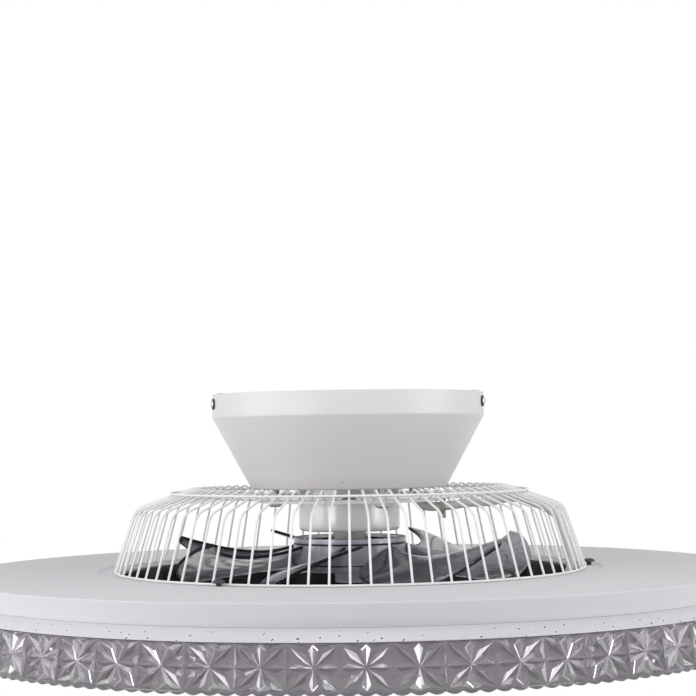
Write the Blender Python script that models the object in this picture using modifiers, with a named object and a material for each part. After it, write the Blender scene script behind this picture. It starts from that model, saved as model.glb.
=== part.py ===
"""Flush ceiling fan: conical canopy, wire cage, seven-blade impeller and a star-cut ring light.

Metres, +Z up. The origin is on the ceiling plane, on the axis of the motor. The front is -Y.
An azimuth is counted from the front, positive towards +X.
"""
import math

import bmesh
import bpy
import numpy as np
from mathutils import Matrix, Vector

# Clearances and shared values
SEAT_GAP = 0.0003
RUN_GAP = 0.0005
OVERRUN = 0.002
WELD = 0.00001
BIG_STEPS = 36
MID_STEPS = 24
SMALL_STEPS = 12
SCREW_STEPS = 6
CROWN_SHARE = 0.6

# Ceiling bracket: a pressed strap with two curved ears
STRAP_WIDTH = 0.056
STRAP_THICKNESS = 0.002
EAR_DEPTH = 0.012
FIXING_SLOT_RADIUS = 0.0025
FIXING_SLOT_LENGTH = 0.013
FIXING_SLOT_SHARE = 1.1

# Canopy: a spun steel cone with a short collar
CANOPY_RADIUS = 0.0855
CANOPY_COLLAR = 0.0155
CANOPY_HEIGHT = 0.059
CANOPY_FOOT_SHARE = 0.716
CANOPY_WALL = 0.0012
CEILING_GAP = 0.0005
CANOPY_EDGE = 0.0012
CANOPY_SCREW_DROP = 0.0065
CANOPY_SCREW_AZIMUTHS = (-104, -76, 76, 104)
SIDE_SCREW_RADIUS = 0.0019
SIDE_SCREW_LENGTH = 0.009
SIDE_HEAD_RADIUS = 0.0034
SIDE_HEAD_HEIGHT = 0.0018

# Hanger plate under the canopy, its spacer, bolts and nuts
PLATE_INSET = 0.0032
PLATE_THICKNESS = 0.0024
SPACER_HEIGHT = 0.0061
SPACER_RADIUS = 0.031
SPACER_WALL = 0.0065
BOLT_MARGIN = 0.011
BOLT_AZIMUTHS = (25, 145, 265)
BOLT_RADIUS = 0.0025
BOLT_HEAD_RADIUS = 0.0046
BOLT_HEAD_HEIGHT = 0.003
NUT_HEIGHT = 0.004
NUT_RADIUS = 0.0046
LEAD_HOLE_RADIUS = 0.008

# Wire cage: its foot ring is a share of the light, and the bends of a rib are shares of that ring
RIB_COUNT = 80
WIRE_RADIUS = 0.00075
FOOT_SHARE = 0.5931
CAGE_HEIGHT = 0.0436
RIB_LANDING = 0.0055
HOOK_SHARE = 0.609
HOOK_RISE = 0.0058
PEAK_SHARE = 0.672
SHOULDER_IN_SHARE = 0.887
SHOULDER_IN_DROP = 0.0109
SHOULDER_OUT_SHARE = 0.928
SHOULDER_OUT_DROP = 0.0183
BAND_SHARE = 0.43

# Motor
HOUSING_RADIUS = 0.0316
HOUSING_HEIGHT = 0.0178
HOUSING_WALL = 0.002
HOUSING_EDGE = 0.0028
BOSS_WALL = 0.0025
BOSS_STEP = 0.0013
BOSS_LENGTH = 0.0194
BEARING_RADIUS = 0.0075
BEARING_WIDTH = 0.0048
SHAFT_RADIUS = 0.003
SHAFT_END = 0.0062
MOTOR_SCREW_INSET = 0.0116
MOTOR_SCREW_AZIMUTHS = (90, 210, 330)
MOTOR_SCREW_RADIUS = 0.0018
MOTOR_SCREW_LENGTH = 0.012
MOTOR_HEAD_RADIUS = 0.0034
MOTOR_HEAD_HEIGHT = 0.002
POST_RADIUS = 0.004
STATOR_INSET = 0.0115
STATOR_HEIGHT = 0.011
YOKE_DEPTH = 0.0045
POLE_COUNT = 9
POLE_WIDTH = 0.0034
POLE_SHOE = 0.0026
COIL_WIDTH = 0.0066
COIL_LENGTH = 0.0052
COIL_OVERHANG = 0.0012
MAGNET_GAP = 0.0006
MAGNET_THICKNESS = 0.0026
BELL_WALL = 0.0012
BELL_BOSS_RADIUS = 0.0062

# Impeller
BLADE_COUNT = 7
REST_AZIMUTH = 3.9
HUB_RADIUS = 0.0353
HUB_WALL = 0.0018
HUB_TOP_DROP = 0.0039
HUB_HEIGHT = 0.0208
HUB_BEAD_HEIGHT = 0.0045
HUB_BEAD_PROUD = 0.0009
TIP_CLEARANCE = 0.0295
BLADE_THICKNESS = 0.0018
HORN_RISE = 0.0002
ROOT_TOP_DROP = 0.0050
ROOT_BOTTOM_RISE = 0.0026
TIP_BOTTOM_DROP = 0.0072
EDGE_DIP = 0.0078
ROOT_SWEEP = 8
EDGE_BOW = 44
TIP_CHORD_ANGLE = 32
ROOT_CHORD_ANGLE = 36
CAMBER_SHARE = 0.35
CORNER_ROUND = 0.012
CORNER_START_SHARE = 0.55
NUT_CAP_RADIUS = 0.0095
NUT_CAP_HEIGHT = 0.0075
NUT_FLUTES = 6
NUT_FLUTE_RADIUS = 0.0016

# Light: pan, duct, board, diffuser and star-cut ring
PAN_RADIUS = 0.2470
PAN_EDGE = 0.0008
PAN_WALL = 0.0015
FASCIA_LEAN = 0.0064
FASCIA_HEIGHT = 0.0124
RECESS_MARGIN = 0.0095
RECESS_DEPTH = 0.0010
DUCT_INSET = 0.0035
DUCT_WALL = 0.0014
DUCT_FLANGE = 0.0150
DUCT_LIP_OUT = 0.0060
DUCT_LIP_IN = 0.0090
BOARD_MARGIN = 0.0130
BOARD_THICKNESS = 0.0016
BAND_FLARE = 0.0060
BAND_HEIGHT = 0.0066
DIFFUSER_WALL = 0.002
DIFFUSER_INSET = 0.0081
DIFFUSER_DEPTH = 0.0192
TILE_COUNT = 60
TILE_PHASE_SHARE = 0.785
RING_FLARE = 0.0034
RING_HEIGHT = 0.0233
RING_LIP = 0.0022
STAR_CUT = 0.0030
STAR_CENTRE = 0.0008
RAY_SHARE = 0.62
LIP_NOTCH = 0.0016

# Bottom grille
GRILLE_THICKNESS = 0.0024
GRILLE_CENTRE_RADIUS = 0.026
GRILLE_MID_SHARE = 0.573
GRILLE_BAR = 0.004
OUTER_SLOTS = 36
INNER_SLOTS = 24
CAP_RADIUS = 0.024
CAP_THICKNESS = 0.002

# Clamp screws of the cage and the grille
CLAMP_AZIMUTHS = (-28.8, 91.2, 211.2)
CLAMP_OFFSET = 0.0042
CLAMP_HEAD_RADIUS = 0.0036
CLAMP_HEAD_HEIGHT = 0.0021
CLAMP_SCREW_RADIUS = 0.0016
CLAMP_SCREW_LENGTH = 0.0095
GRILLE_SCREW_LENGTH = 0.0072

# Control box, terminal block and light cable
BOX_SIZE = (0.070, 0.042, 0.024)
BOX_EDGE = 0.002
TERMINAL_SIZE = (0.016, 0.024, 0.013)
TERMINAL_WAYS = 3
CABLE_RADIUS = 0.00275
CABLE_AZIMUTH = 76.5
CABLE_STANDOFF = 0.0021
CABLE_CLEARANCE = 0.0013
CABLE_DROP = 0.0045
CABLE_BEND = 0.0075
SLOPE_SHARES = (0.43, 0.75)
SIDE_SHARES = (0.4, 0.7)
GROMMET_WALL = 0.0012
GROMMET_LIP = 0.0014
GROMMET_DROP = 0.0214
TIE_OFFSET = 0.0018
TIE_THICKNESS = 0.0009
TIE_WIDTH = 0.0024
TIE_HEAD = 0.0034

# Radii that follow from the sizes above
FIXING_SLOT_PITCH = CANOPY_RADIUS * FIXING_SLOT_SHARE
CANOPY_FOOT_RADIUS = CANOPY_RADIUS * CANOPY_FOOT_SHARE
PLATE_RADIUS = CANOPY_FOOT_RADIUS - PLATE_INSET
BOLT_CIRCLE = PLATE_RADIUS - BOLT_MARGIN
RIB_INNER_RADIUS = PLATE_RADIUS - RIB_LANDING
FOOT_RADIUS = PAN_RADIUS * FOOT_SHARE
HOOK_RADIUS = FOOT_RADIUS * HOOK_SHARE
PEAK_RADIUS = FOOT_RADIUS * PEAK_SHARE
SHOULDER_IN_RADIUS = FOOT_RADIUS * SHOULDER_IN_SHARE
SHOULDER_OUT_RADIUS = FOOT_RADIUS * SHOULDER_OUT_SHARE
BAND_RADIUS = PEAK_RADIUS + (SHOULDER_IN_RADIUS - PEAK_RADIUS) * BAND_SHARE
BOSS_RADIUS = BEARING_RADIUS + BOSS_WALL
BOSS_BORE = BEARING_RADIUS - BOSS_STEP
MOTOR_SCREW_CIRCLE = HOUSING_RADIUS - MOTOR_SCREW_INSET
STATOR_RADIUS = HUB_RADIUS - STATOR_INSET
STATOR_YOKE = BOSS_RADIUS + YOKE_DEPTH
DUCT_RADIUS = FOOT_RADIUS - DUCT_INSET
BLADE_RADIUS = DUCT_RADIUS - TIP_CLEARANCE
RECESS_RADIUS = FOOT_RADIUS + RECESS_MARGIN
FASCIA_FOOT_RADIUS = PAN_RADIUS - FASCIA_LEAN
BAND_FOOT_RADIUS = FASCIA_FOOT_RADIUS + BAND_FLARE
RING_FOOT_RADIUS = BAND_FOOT_RADIUS + RING_FLARE
DIFFUSER_SHELL_RADIUS = BAND_FOOT_RADIUS - DIFFUSER_INSET
BOARD_IN_RADIUS = DUCT_RADIUS + DUCT_WALL + DUCT_FLANGE + BOARD_MARGIN
BOARD_OUT_RADIUS = DIFFUSER_SHELL_RADIUS - BOARD_MARGIN
GRILLE_MID_RADIUS = DUCT_RADIUS * GRILLE_MID_SHARE
BOX_SIDE_RADIUS = BOX_SIZE[0] / 2 / math.sin(math.radians(CABLE_AZIMUTH))
CABLE_HOLE_RADIUS = BOX_SIDE_RADIUS + CABLE_RADIUS + CABLE_STANDOFF
TIE_RADIUS = PLATE_RADIUS + TIE_OFFSET

# Heights that follow from the sizes above
CANOPY_FLOOR = -CANOPY_HEIGHT - CEILING_GAP
PLATE_TOP = CANOPY_FLOOR - SPACER_HEIGHT
PLATE_FOOT = PLATE_TOP - PLATE_THICKNESS
RIB_LEVEL = PLATE_TOP + SEAT_GAP + WIRE_RADIUS
PEAK_LEVEL = RIB_LEVEL + HOOK_RISE
CABLE_LEVEL = PLATE_FOOT - CABLE_RADIUS - SEAT_GAP * 3
HOUSING_TOP = PLATE_FOOT - SEAT_GAP
HOUSING_FOOT = HOUSING_TOP - HOUSING_HEIGHT
BOSS_FOOT = HOUSING_FOOT - BOSS_LENGTH
HUB_TOP = HOUSING_FOOT - HUB_TOP_DROP
HUB_FOOT = HUB_TOP - HUB_HEIGHT
BELL_TOP = HUB_TOP - RUN_GAP
BELL_FLOOR = BOSS_FOOT - RUN_GAP
BELL_FOOT = BELL_FLOOR - BELL_WALL
SHAFT_TOP = HOUSING_TOP - OVERRUN
SHAFT_FOOT = HUB_FOOT - SHAFT_END
PAN_TOP = PLATE_TOP - CAGE_HEIGHT
RECESS_TOP = PAN_TOP - RECESS_DEPTH
FOOT_LEVEL = RECESS_TOP + SEAT_GAP + WIRE_RADIUS
FASCIA_FOOT = PAN_TOP - FASCIA_HEIGHT
BAND_TOP = FASCIA_FOOT - SEAT_GAP
BAND_FOOT = BAND_TOP - BAND_HEIGHT
RING_TOP = BAND_FOOT - SEAT_GAP
RING_FOOT = RING_TOP - RING_HEIGHT
DIFFUSER_FOOT = BAND_FOOT - DIFFUSER_DEPTH
DUCT_LIP_TOP = DIFFUSER_FOOT - SEAT_GAP
DUCT_FOOT = DUCT_LIP_TOP - DUCT_WALL
DUCT_TOP = RECESS_TOP - PAN_WALL - SEAT_GAP
GROMMET_LEVEL = RECESS_TOP - GROMMET_DROP


def clear_scene():
    """Remove what the file holds, and make the collections for the fan and its cutters."""
    for old in list(bpy.data.objects):
        bpy.data.objects.remove(old, do_unlink=True)
    for old in list(bpy.data.collections):
        bpy.data.collections.remove(old)
    made = []
    for name in ("ceiling_fan", "cutters"):
        made.append(bpy.data.collections.new(name))
        bpy.context.scene.collection.children.link(made[-1])
    return made


PARTS, CUTTERS = clear_scene()


def material(name, colour, roughness, metallic=0.0, alpha=1.0):
    """A Principled material of one colour."""
    made = bpy.data.materials.new(name)
    made.use_nodes = True
    shader = made.node_tree.nodes["Principled BSDF"]
    shader.inputs["Base Color"].default_value = (*colour, 1.0)
    shader.inputs["Roughness"].default_value = roughness
    shader.inputs["Metallic"].default_value = metallic
    shader.inputs["Alpha"].default_value = alpha
    return made


PAINT = material("white_paint", (0.80, 0.79, 0.80), 0.35)
WIRE = material("white_wire", (0.88, 0.87, 0.87), 0.35)
SHELL = material("white_plastic", (0.82, 0.82, 0.83), 0.40)
SMOKE = material("smoky_plastic", (0.10, 0.10, 0.12), 0.15, alpha=0.7)
OPAL = material("opal_acrylic", (0.80, 0.80, 0.84), 0.35)
CRYSTAL = material("clear_acrylic", (0.75, 0.74, 0.76), 0.05, alpha=0.4)
DARK = material("black_plastic", (0.03, 0.03, 0.035), 0.40)
STEEL = material("zinc_steel", (0.62, 0.62, 0.62), 0.35, 1.0)
BRIGHT = material("bright_steel", (0.75, 0.75, 0.76), 0.20, 1.0)
COPPER = material("wound_copper", (0.60, 0.30, 0.14), 0.35, 1.0)
MAGNET = material("ferrite", (0.09, 0.09, 0.10), 0.55)
ALUMINIUM = material("aluminium_board", (0.80, 0.80, 0.80), 0.40, 1.0)
SLEEVE = material("grey_sleeve", (0.22, 0.21, 0.21), 0.60)
RUBBER = material("rubber", (0.05, 0.05, 0.05), 0.80)


def keep(obj, finish):
    """Put an object in the fan's collection with its material."""
    PARTS.objects.link(obj)
    obj.data.materials.clear()
    obj.data.materials.append(finish)
    return obj


def weld(mesh):
    """Join a mesh's doubled points and turn its faces outwards."""
    work = bmesh.new()
    work.from_mesh(mesh)
    bmesh.ops.remove_doubles(work, verts=work.verts[:], dist=WELD)
    bmesh.ops.recalc_face_normals(work, faces=work.faces[:])
    work.to_mesh(mesh)
    work.free()


def baked(obj):
    """Apply an object's modifiers, or turn its curve into a mesh with welded caps."""
    bpy.context.view_layer.update()
    graph = bpy.context.evaluated_depsgraph_get()
    mesh = bpy.data.meshes.new_from_object(obj.evaluated_get(graph))
    if obj.type == "CURVE":
        weld(mesh)
    name = obj.name
    made = bpy.data.objects.new(name + "_made", mesh)
    made.matrix_world = obj.matrix_world.copy()
    for group in obj.users_collection:
        group.objects.link(made)
    bpy.data.objects.remove(obj, do_unlink=True)
    made.name = name
    mesh.name = name
    mesh.shade_smooth()
    mesh.set_sharp_from_angle(angle=math.radians(30))
    return made


def mesh_object(name, verts, edges=(), faces=()):
    """An object from points, edges and faces."""
    mesh = bpy.data.meshes.new(name)
    mesh.from_pydata([tuple(v) for v in verts], list(edges), list(faces))
    return bpy.data.objects.new(name, mesh)


def turned(name, profile, finish, steps=MID_STEPS):
    """Turn a profile of (radius, height) about Z. It runs down its outer side; a ring's profile closes."""
    open_profile = profile[0][0] == 0
    count = len(profile)
    edges = [(i, (i + 1) % count) for i in range(count - open_profile)]
    obj = keep(mesh_object(name, [(r, 0, z) for r, z in profile], edges), finish)
    screw = obj.modifiers.new("Turn", "SCREW")
    screw.steps = screw.render_steps = steps
    screw.use_merge_vertices = True
    screw.merge_threshold = WELD
    return baked(obj)


def direction(azimuth):
    """Unit vector that points outwards at an azimuth."""
    angle = math.radians(azimuth)
    return Vector((math.sin(angle), -math.cos(angle), 0))


def outward(azimuth, radius, height):
    """Matrix that stands local +Z outwards at a radius."""
    axis = direction(azimuth)
    turn = axis.to_track_quat("Z", "Y").to_matrix().to_4x4()
    return Matrix.Translation(axis * radius + Vector((0, 0, height))) @ turn


def facet_radius(radius, azimuth, steps=BIG_STEPS):
    """Distance of a turned wall from the axis at an azimuth. Its corners are counted from +X."""
    step = 360 / steps
    past_middle = (90 - azimuth) % step - step / 2
    return radius * math.cos(math.radians(step / 2)) / math.cos(math.radians(past_middle))


def upright(azimuth, radius, height, flip=False):
    """Matrix that stands local +Z up, or down, at a radius."""
    place = Matrix.Translation(direction(azimuth) * radius + Vector((0, 0, height)))
    return place @ Matrix.Rotation(math.pi, 4, "X") if flip else place


def rods(name, radius, length, places, sides=SMALL_STEPS):
    """One mesh of round rods along local Z, centred at each place: a cutter, or posts to join on."""
    work = bmesh.new()
    half_step = Matrix.Rotation(math.pi / sides, 4, "Z")
    for place in places:
        bmesh.ops.create_cone(work, cap_ends=True, segments=sides, radius1=radius, radius2=radius,
                              depth=length, matrix=place @ half_step)
    mesh = bpy.data.meshes.new(name)
    work.to_mesh(mesh)
    work.free()
    return bpy.data.objects.new(name, mesh)


def hulled(obj):
    """Stretch a skin over the rods of a cutter, which makes a slot of two holes."""
    work = bmesh.new()
    work.from_mesh(obj.data)
    bmesh.ops.delete(work, geom=work.faces[:], context="FACES_ONLY")
    bmesh.ops.delete(work, geom=work.edges[:], context="EDGES_FACES")
    bmesh.ops.convex_hull(work, input=work.verts[:])
    work.to_mesh(obj.data)
    work.free()
    return obj


def boxes(name, size, places):
    """One mesh of boxes of one size, centred at each place."""
    work = bmesh.new()
    for place in places:
        bmesh.ops.create_cube(work, size=1, matrix=place @ Matrix.Diagonal((*size, 1)))
    mesh = bpy.data.meshes.new(name)
    work.to_mesh(mesh)
    work.free()
    return bpy.data.objects.new(name, mesh)


def combine(obj, tool, operation):
    """Cut, join or intersect with a Boolean. The tool stays as a hidden cutter."""
    tool.hide_render = True
    tool.display_type = "WIRE"
    CUTTERS.objects.link(tool)
    step = obj.modifiers.new(operation.title(), "BOOLEAN")
    step.operation = operation
    step.object = tool
    return baked(obj)


def drilled(obj, radius, places, length, sides=SMALL_STEPS):
    """Drill round holes."""
    return combine(obj, rods(obj.name + "_holes", radius, length, places, sides), "DIFFERENCE")


def screw_body(name, head_radius, head_height, radius, length, place, finish=STEEL, sides=SCREW_STEPS):
    """A screw along local Z: a domed head above the seat and a shank below it."""
    crown = head_radius * CROWN_SHARE
    profile = [(0, head_height), (crown, head_height), (head_radius, head_height * CROWN_SHARE),
               (head_radius, 0), (radius, 0), (radius, -length), (0, -length)]
    obj = turned(name, profile, finish, sides)
    obj.matrix_world = place
    return obj


def ceiling_bracket():
    """A strap across the ceiling box, with ears that follow the inside of the collar."""
    ear_radius = CANOPY_RADIUS - CANOPY_WALL - SEAT_GAP
    inner = ear_radius - STRAP_THICKNESS
    foot = -EAR_DEPTH - STRAP_THICKNESS
    cup = [(0, 0), (ear_radius, 0), (ear_radius, foot), (inner, foot), (inner, -STRAP_THICKNESS),
           (0, -STRAP_THICKNESS)]
    obj = turned("ceiling_bracket", cup, STEEL, BIG_STEPS)
    strap = boxes("strap_outline", (CANOPY_RADIUS * 2, STRAP_WIDTH, EAR_DEPTH * 4), [Matrix()])
    obj = combine(obj, strap, "INTERSECT")
    for side in (-1, 1):
        reach = FIXING_SLOT_LENGTH / 2 - FIXING_SLOT_RADIUS
        ends = [Matrix.Translation((side * FIXING_SLOT_PITCH / 2 + x, 0, 0)) for x in (-reach, reach)]
        obj = combine(obj, hulled(rods("fixing_slot", FIXING_SLOT_RADIUS, EAR_DEPTH, ends)), "DIFFERENCE")
    level = -CANOPY_SCREW_DROP
    places = [outward(a, ear_radius, level) for a in CANOPY_SCREW_AZIMUTHS]
    return drilled(obj, SIDE_SCREW_RADIUS + SEAT_GAP, places, STRAP_THICKNESS * 4, SCREW_STEPS)


def canopy():
    """The conical shell, open at the ceiling, with a floor that the plate bolts to."""
    top = -CEILING_GAP
    collar = -CANOPY_COLLAR
    floor = CANOPY_FLOOR
    wall = CANOPY_WALL
    slope = (CANOPY_RADIUS - CANOPY_FOOT_RADIUS) / (-CANOPY_COLLAR - floor)
    profile = [(CANOPY_RADIUS, top), (CANOPY_RADIUS, collar + CANOPY_EDGE),
               (CANOPY_RADIUS - CANOPY_EDGE * slope, collar - CANOPY_EDGE),
               (CANOPY_FOOT_RADIUS, floor + CANOPY_EDGE), (CANOPY_FOOT_RADIUS - CANOPY_EDGE, floor),
               (LEAD_HOLE_RADIUS, floor), (LEAD_HOLE_RADIUS, floor + wall),
               (CANOPY_FOOT_RADIUS - wall - CANOPY_EDGE, floor + wall), (CANOPY_RADIUS - wall, collar),
               (CANOPY_RADIUS - wall, top)]
    obj = turned("canopy", profile, PAINT, BIG_STEPS)
    level = -CANOPY_SCREW_DROP
    places = [outward(a, CANOPY_RADIUS, level) for a in CANOPY_SCREW_AZIMUTHS]
    obj = drilled(obj, SIDE_SCREW_RADIUS + SEAT_GAP, places, wall * 6, SCREW_STEPS)
    holes = [upright(a, BOLT_CIRCLE, floor) for a in BOLT_AZIMUTHS]
    obj = drilled(obj, BOLT_RADIUS + SEAT_GAP, holes, wall * 6, SCREW_STEPS)
    cable = [upright(CABLE_AZIMUTH, CABLE_HOLE_RADIUS, floor)]
    return drilled(obj, CABLE_RADIUS + CABLE_CLEARANCE, cable, wall * 6, SMALL_STEPS)


def canopy_screws():
    """Side screws through the collar into the bracket's ears."""
    for number, azimuth in enumerate(CANOPY_SCREW_AZIMUTHS, 1):
        place = outward(azimuth, facet_radius(CANOPY_RADIUS, azimuth) + SEAT_GAP, -CANOPY_SCREW_DROP)
        screw_body(f"canopy_screw_{number}", SIDE_HEAD_RADIUS, SIDE_HEAD_HEIGHT, SIDE_SCREW_RADIUS,
                   SIDE_SCREW_LENGTH, place)


def hanger_plate():
    """The round plate that carries the motor and the cage."""
    profile = [(PLATE_RADIUS, PLATE_TOP), (PLATE_RADIUS, PLATE_FOOT), (LEAD_HOLE_RADIUS, PLATE_FOOT),
               (LEAD_HOLE_RADIUS, PLATE_TOP)]
    obj = turned("hanger_plate", profile, PAINT)
    depth = PLATE_THICKNESS * 4
    bolts = [upright(a, BOLT_CIRCLE, PLATE_TOP) for a in BOLT_AZIMUTHS]
    obj = drilled(obj, BOLT_RADIUS + SEAT_GAP, bolts, depth, SCREW_STEPS)
    motor = [upright(a, MOTOR_SCREW_CIRCLE, PLATE_TOP) for a in MOTOR_SCREW_AZIMUTHS]
    obj = drilled(obj, MOTOR_SCREW_RADIUS + SEAT_GAP, motor, depth, SCREW_STEPS)
    cable = [upright(CABLE_AZIMUTH, CABLE_HOLE_RADIUS, PLATE_TOP)]
    return drilled(obj, CABLE_RADIUS + CABLE_CLEARANCE, cable, depth, SMALL_STEPS)


def support_spacer():
    """The tube between the canopy's floor and the plate."""
    top = CANOPY_FLOOR - SEAT_GAP
    foot = PLATE_TOP + SEAT_GAP
    inner = SPACER_RADIUS - SPACER_WALL
    profile = [(SPACER_RADIUS, top), (SPACER_RADIUS, foot), (inner, foot), (inner, top)]
    turned("support_spacer", profile, STEEL)


def plate_bolts():
    """Bolts from under the plate through the canopy's floor, with their nuts."""
    nut_foot = CANOPY_FLOOR + CANOPY_WALL + SEAT_GAP
    head_seat = PLATE_FOOT - SEAT_GAP
    length = nut_foot + NUT_HEIGHT + BOLT_RADIUS - head_seat
    for number, azimuth in enumerate(BOLT_AZIMUTHS, 1):
        place = upright(azimuth, BOLT_CIRCLE, head_seat, flip=True)
        screw_body(f"plate_bolt_{number}", BOLT_HEAD_RADIUS, BOLT_HEAD_HEIGHT, BOLT_RADIUS, length, place)
        bore = BOLT_RADIUS + SEAT_GAP
        profile = [(NUT_RADIUS, nut_foot + NUT_HEIGHT), (NUT_RADIUS, nut_foot), (bore, nut_foot),
                   (bore, nut_foot + NUT_HEIGHT)]
        nut = turned(f"plate_nut_{number}", profile, STEEL, 6)
        nut.matrix_world = upright(azimuth, BOLT_CIRCLE, 0)


def rib_profile():
    """Centreline of one cage rib: run over the plate, hook, sloping top, shoulder and side."""
    return [(RIB_INNER_RADIUS, RIB_LEVEL), (HOOK_RADIUS, RIB_LEVEL), (PEAK_RADIUS, PEAK_LEVEL),
            (SHOULDER_IN_RADIUS, PEAK_LEVEL - SHOULDER_IN_DROP),
            (SHOULDER_OUT_RADIUS, PEAK_LEVEL - SHOULDER_OUT_DROP), (FOOT_RADIUS, FOOT_LEVEL)]


def wire_cage():
    """Ribs welded to a foot ring, as one wire frame: a graph of edges with a Skin modifier."""
    profile = np.array(rib_profile())
    turn = np.radians(np.arange(RIB_COUNT) * 360 / RIB_COUNT)[:, None]
    radius, height = profile[:, 0][None, :], profile[:, 1][None, :]
    points = np.stack([radius * np.sin(turn), -radius * np.cos(turn), height + turn * 0], -1).reshape(-1, 3)
    size = len(profile)
    edges = [(i * size + j, i * size + j + 1) for i in range(RIB_COUNT) for j in range(size - 1)]
    edges += [(i * size + size - 1, (i + 1) % RIB_COUNT * size + size - 1) for i in range(RIB_COUNT)]
    obj = keep(mesh_object("wire_cage", points, edges), WIRE)
    obj.modifiers.new("Wire", "SKIN")
    for vertex in obj.data.skin_vertices[0].data:
        vertex.radius = (WIRE_RADIUS, WIRE_RADIUS)
    obj.data.skin_vertices[0].data[0].use_root = True
    thin = obj.modifiers.new("Straight", "DECIMATE")
    thin.decimate_type = "DISSOLVE"
    thin.angle_limit = math.radians(5)
    return baked(obj)


def cage_band():
    """The ring welded on top of the sloping ribs, half way down the slope."""
    lean = math.atan2(SHOULDER_IN_DROP, SHOULDER_IN_RADIUS - PEAK_RADIUS)
    level = PEAK_LEVEL - SHOULDER_IN_DROP * BAND_SHARE + (WIRE_RADIUS * 2 + SEAT_GAP) / math.cos(lean)
    bpy.ops.mesh.primitive_torus_add(major_segments=RIB_COUNT // 2, minor_segments=4, location=(0, 0, level),
                                     major_radius=BAND_RADIUS, minor_radius=WIRE_RADIUS)
    obj = bpy.context.object
    obj.name = "cage_band"
    for group in list(obj.users_collection):
        group.objects.unlink(obj)
    return keep(obj, WIRE)


def motor_housing():
    """The white cup under the plate, with the boss that holds the bearings and the stator."""
    top, foot = HOUSING_TOP, HOUSING_FOOT
    edge, wall, radius = HOUSING_EDGE, HOUSING_WALL, HOUSING_RADIUS
    seat = BEARING_RADIUS + SEAT_GAP
    depth = BEARING_WIDTH + SEAT_GAP
    corner = [(radius - edge * (1 - math.cos(t)), foot + edge * (1 - math.sin(t)))
              for t in (0, math.pi / 4, math.pi / 2)]
    profile = [(radius, top), *corner, (BOSS_RADIUS, foot), (BOSS_RADIUS, BOSS_FOOT), (seat, BOSS_FOOT),
               (seat, BOSS_FOOT + depth), (BOSS_BORE, BOSS_FOOT + depth), (BOSS_BORE, top - depth),
               (seat, top - depth), (seat, top), (BOSS_RADIUS, top), (BOSS_RADIUS, foot + wall),
               (radius - wall - edge / 2, foot + wall), (radius - wall, foot + wall + edge / 2),
               (radius - wall, top)]
    obj = turned("motor_housing", profile, SHELL)
    height = top - foot - wall / 2
    centre = top - height / 2
    posts = [upright(a, MOTOR_SCREW_CIRCLE, centre) for a in MOTOR_SCREW_AZIMUTHS]
    obj = combine(obj, rods("housing_posts", POST_RADIUS, height, posts, SMALL_STEPS // 2), "UNION")
    pilots = [upright(a, MOTOR_SCREW_CIRCLE, top) for a in MOTOR_SCREW_AZIMUTHS]
    return drilled(obj, MOTOR_SCREW_RADIUS + SEAT_GAP, pilots, MOTOR_SCREW_LENGTH * 2, SCREW_STEPS)


def motor_screws():
    """Screws from above the plate into the housing's posts."""
    seat = PLATE_TOP + SEAT_GAP
    for number, azimuth in enumerate(MOTOR_SCREW_AZIMUTHS, 1):
        place = upright(azimuth, MOTOR_SCREW_CIRCLE, seat)
        screw_body(f"motor_screw_{number}", MOTOR_HEAD_RADIUS, MOTOR_HEAD_HEIGHT, MOTOR_SCREW_RADIUS,
                   MOTOR_SCREW_LENGTH, place)


def bearings():
    """Two ball bearings in the boss, one at each end."""
    bore = SHAFT_RADIUS + SEAT_GAP
    tops = {"upper_bearing": HOUSING_TOP - SEAT_GAP, "lower_bearing": BOSS_FOOT + BEARING_WIDTH}
    for name, top in tops.items():
        foot = top - BEARING_WIDTH + SEAT_GAP
        profile = [(BEARING_RADIUS, top), (BEARING_RADIUS, foot), (bore, foot), (bore, top)]
        turned(name, profile, BRIGHT, SMALL_STEPS)


def motor_shaft():
    """The steel shaft that turns in the bearings and carries the bell and the impeller."""
    turned("motor_shaft", [(0, SHAFT_TOP), (SHAFT_RADIUS, SHAFT_TOP), (SHAFT_RADIUS, SHAFT_FOOT),
                           (0, SHAFT_FOOT)], BRIGHT, SMALL_STEPS)


def stator():
    """Laminated poles with their windings, on the boss."""
    top = BELL_TOP - COIL_OVERHANG
    foot = top - STATOR_HEIGHT
    bore = BOSS_RADIUS + SEAT_GAP
    obj = turned("stator", [(STATOR_YOKE, top), (STATOR_YOKE, foot), (bore, foot), (bore, top)], COPPER,
                 POLE_COUNT * 2)
    middle = (top + foot) / 2
    turns = [i * 360 / POLE_COUNT for i in range(POLE_COUNT)]
    reach = STATOR_RADIUS - STATOR_YOKE + OVERRUN
    arms = [outward(a, STATOR_RADIUS - reach / 2, middle) for a in turns]
    obj = combine(obj, boxes("stator_poles", (STATOR_HEIGHT - OVERRUN, POLE_WIDTH, reach), arms), "UNION")
    coils = [outward(a, (STATOR_YOKE + STATOR_RADIUS) / 2, middle) for a in turns]
    size = (STATOR_HEIGHT + COIL_OVERHANG, COIL_WIDTH, COIL_LENGTH)
    obj = combine(obj, boxes("stator_coils", size, coils), "UNION")
    shoes = [outward(a, STATOR_RADIUS - POLE_SHOE / 4, middle) for a in turns]
    size = (STATOR_HEIGHT - OVERRUN / 2, POLE_WIDTH + POLE_SHOE * 3, POLE_SHOE / 2)
    return combine(obj, boxes("stator_shoes", size, shoes), "UNION")


def magnet_radius():
    """Outer radius of the magnet ring: past the corners of the pole shoes by the air gap."""
    half_shoe = POLE_WIDTH / 2 + POLE_SHOE * 3 / 2
    return math.hypot(STATOR_RADIUS, half_shoe) + MAGNET_GAP + MAGNET_THICKNESS


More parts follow.
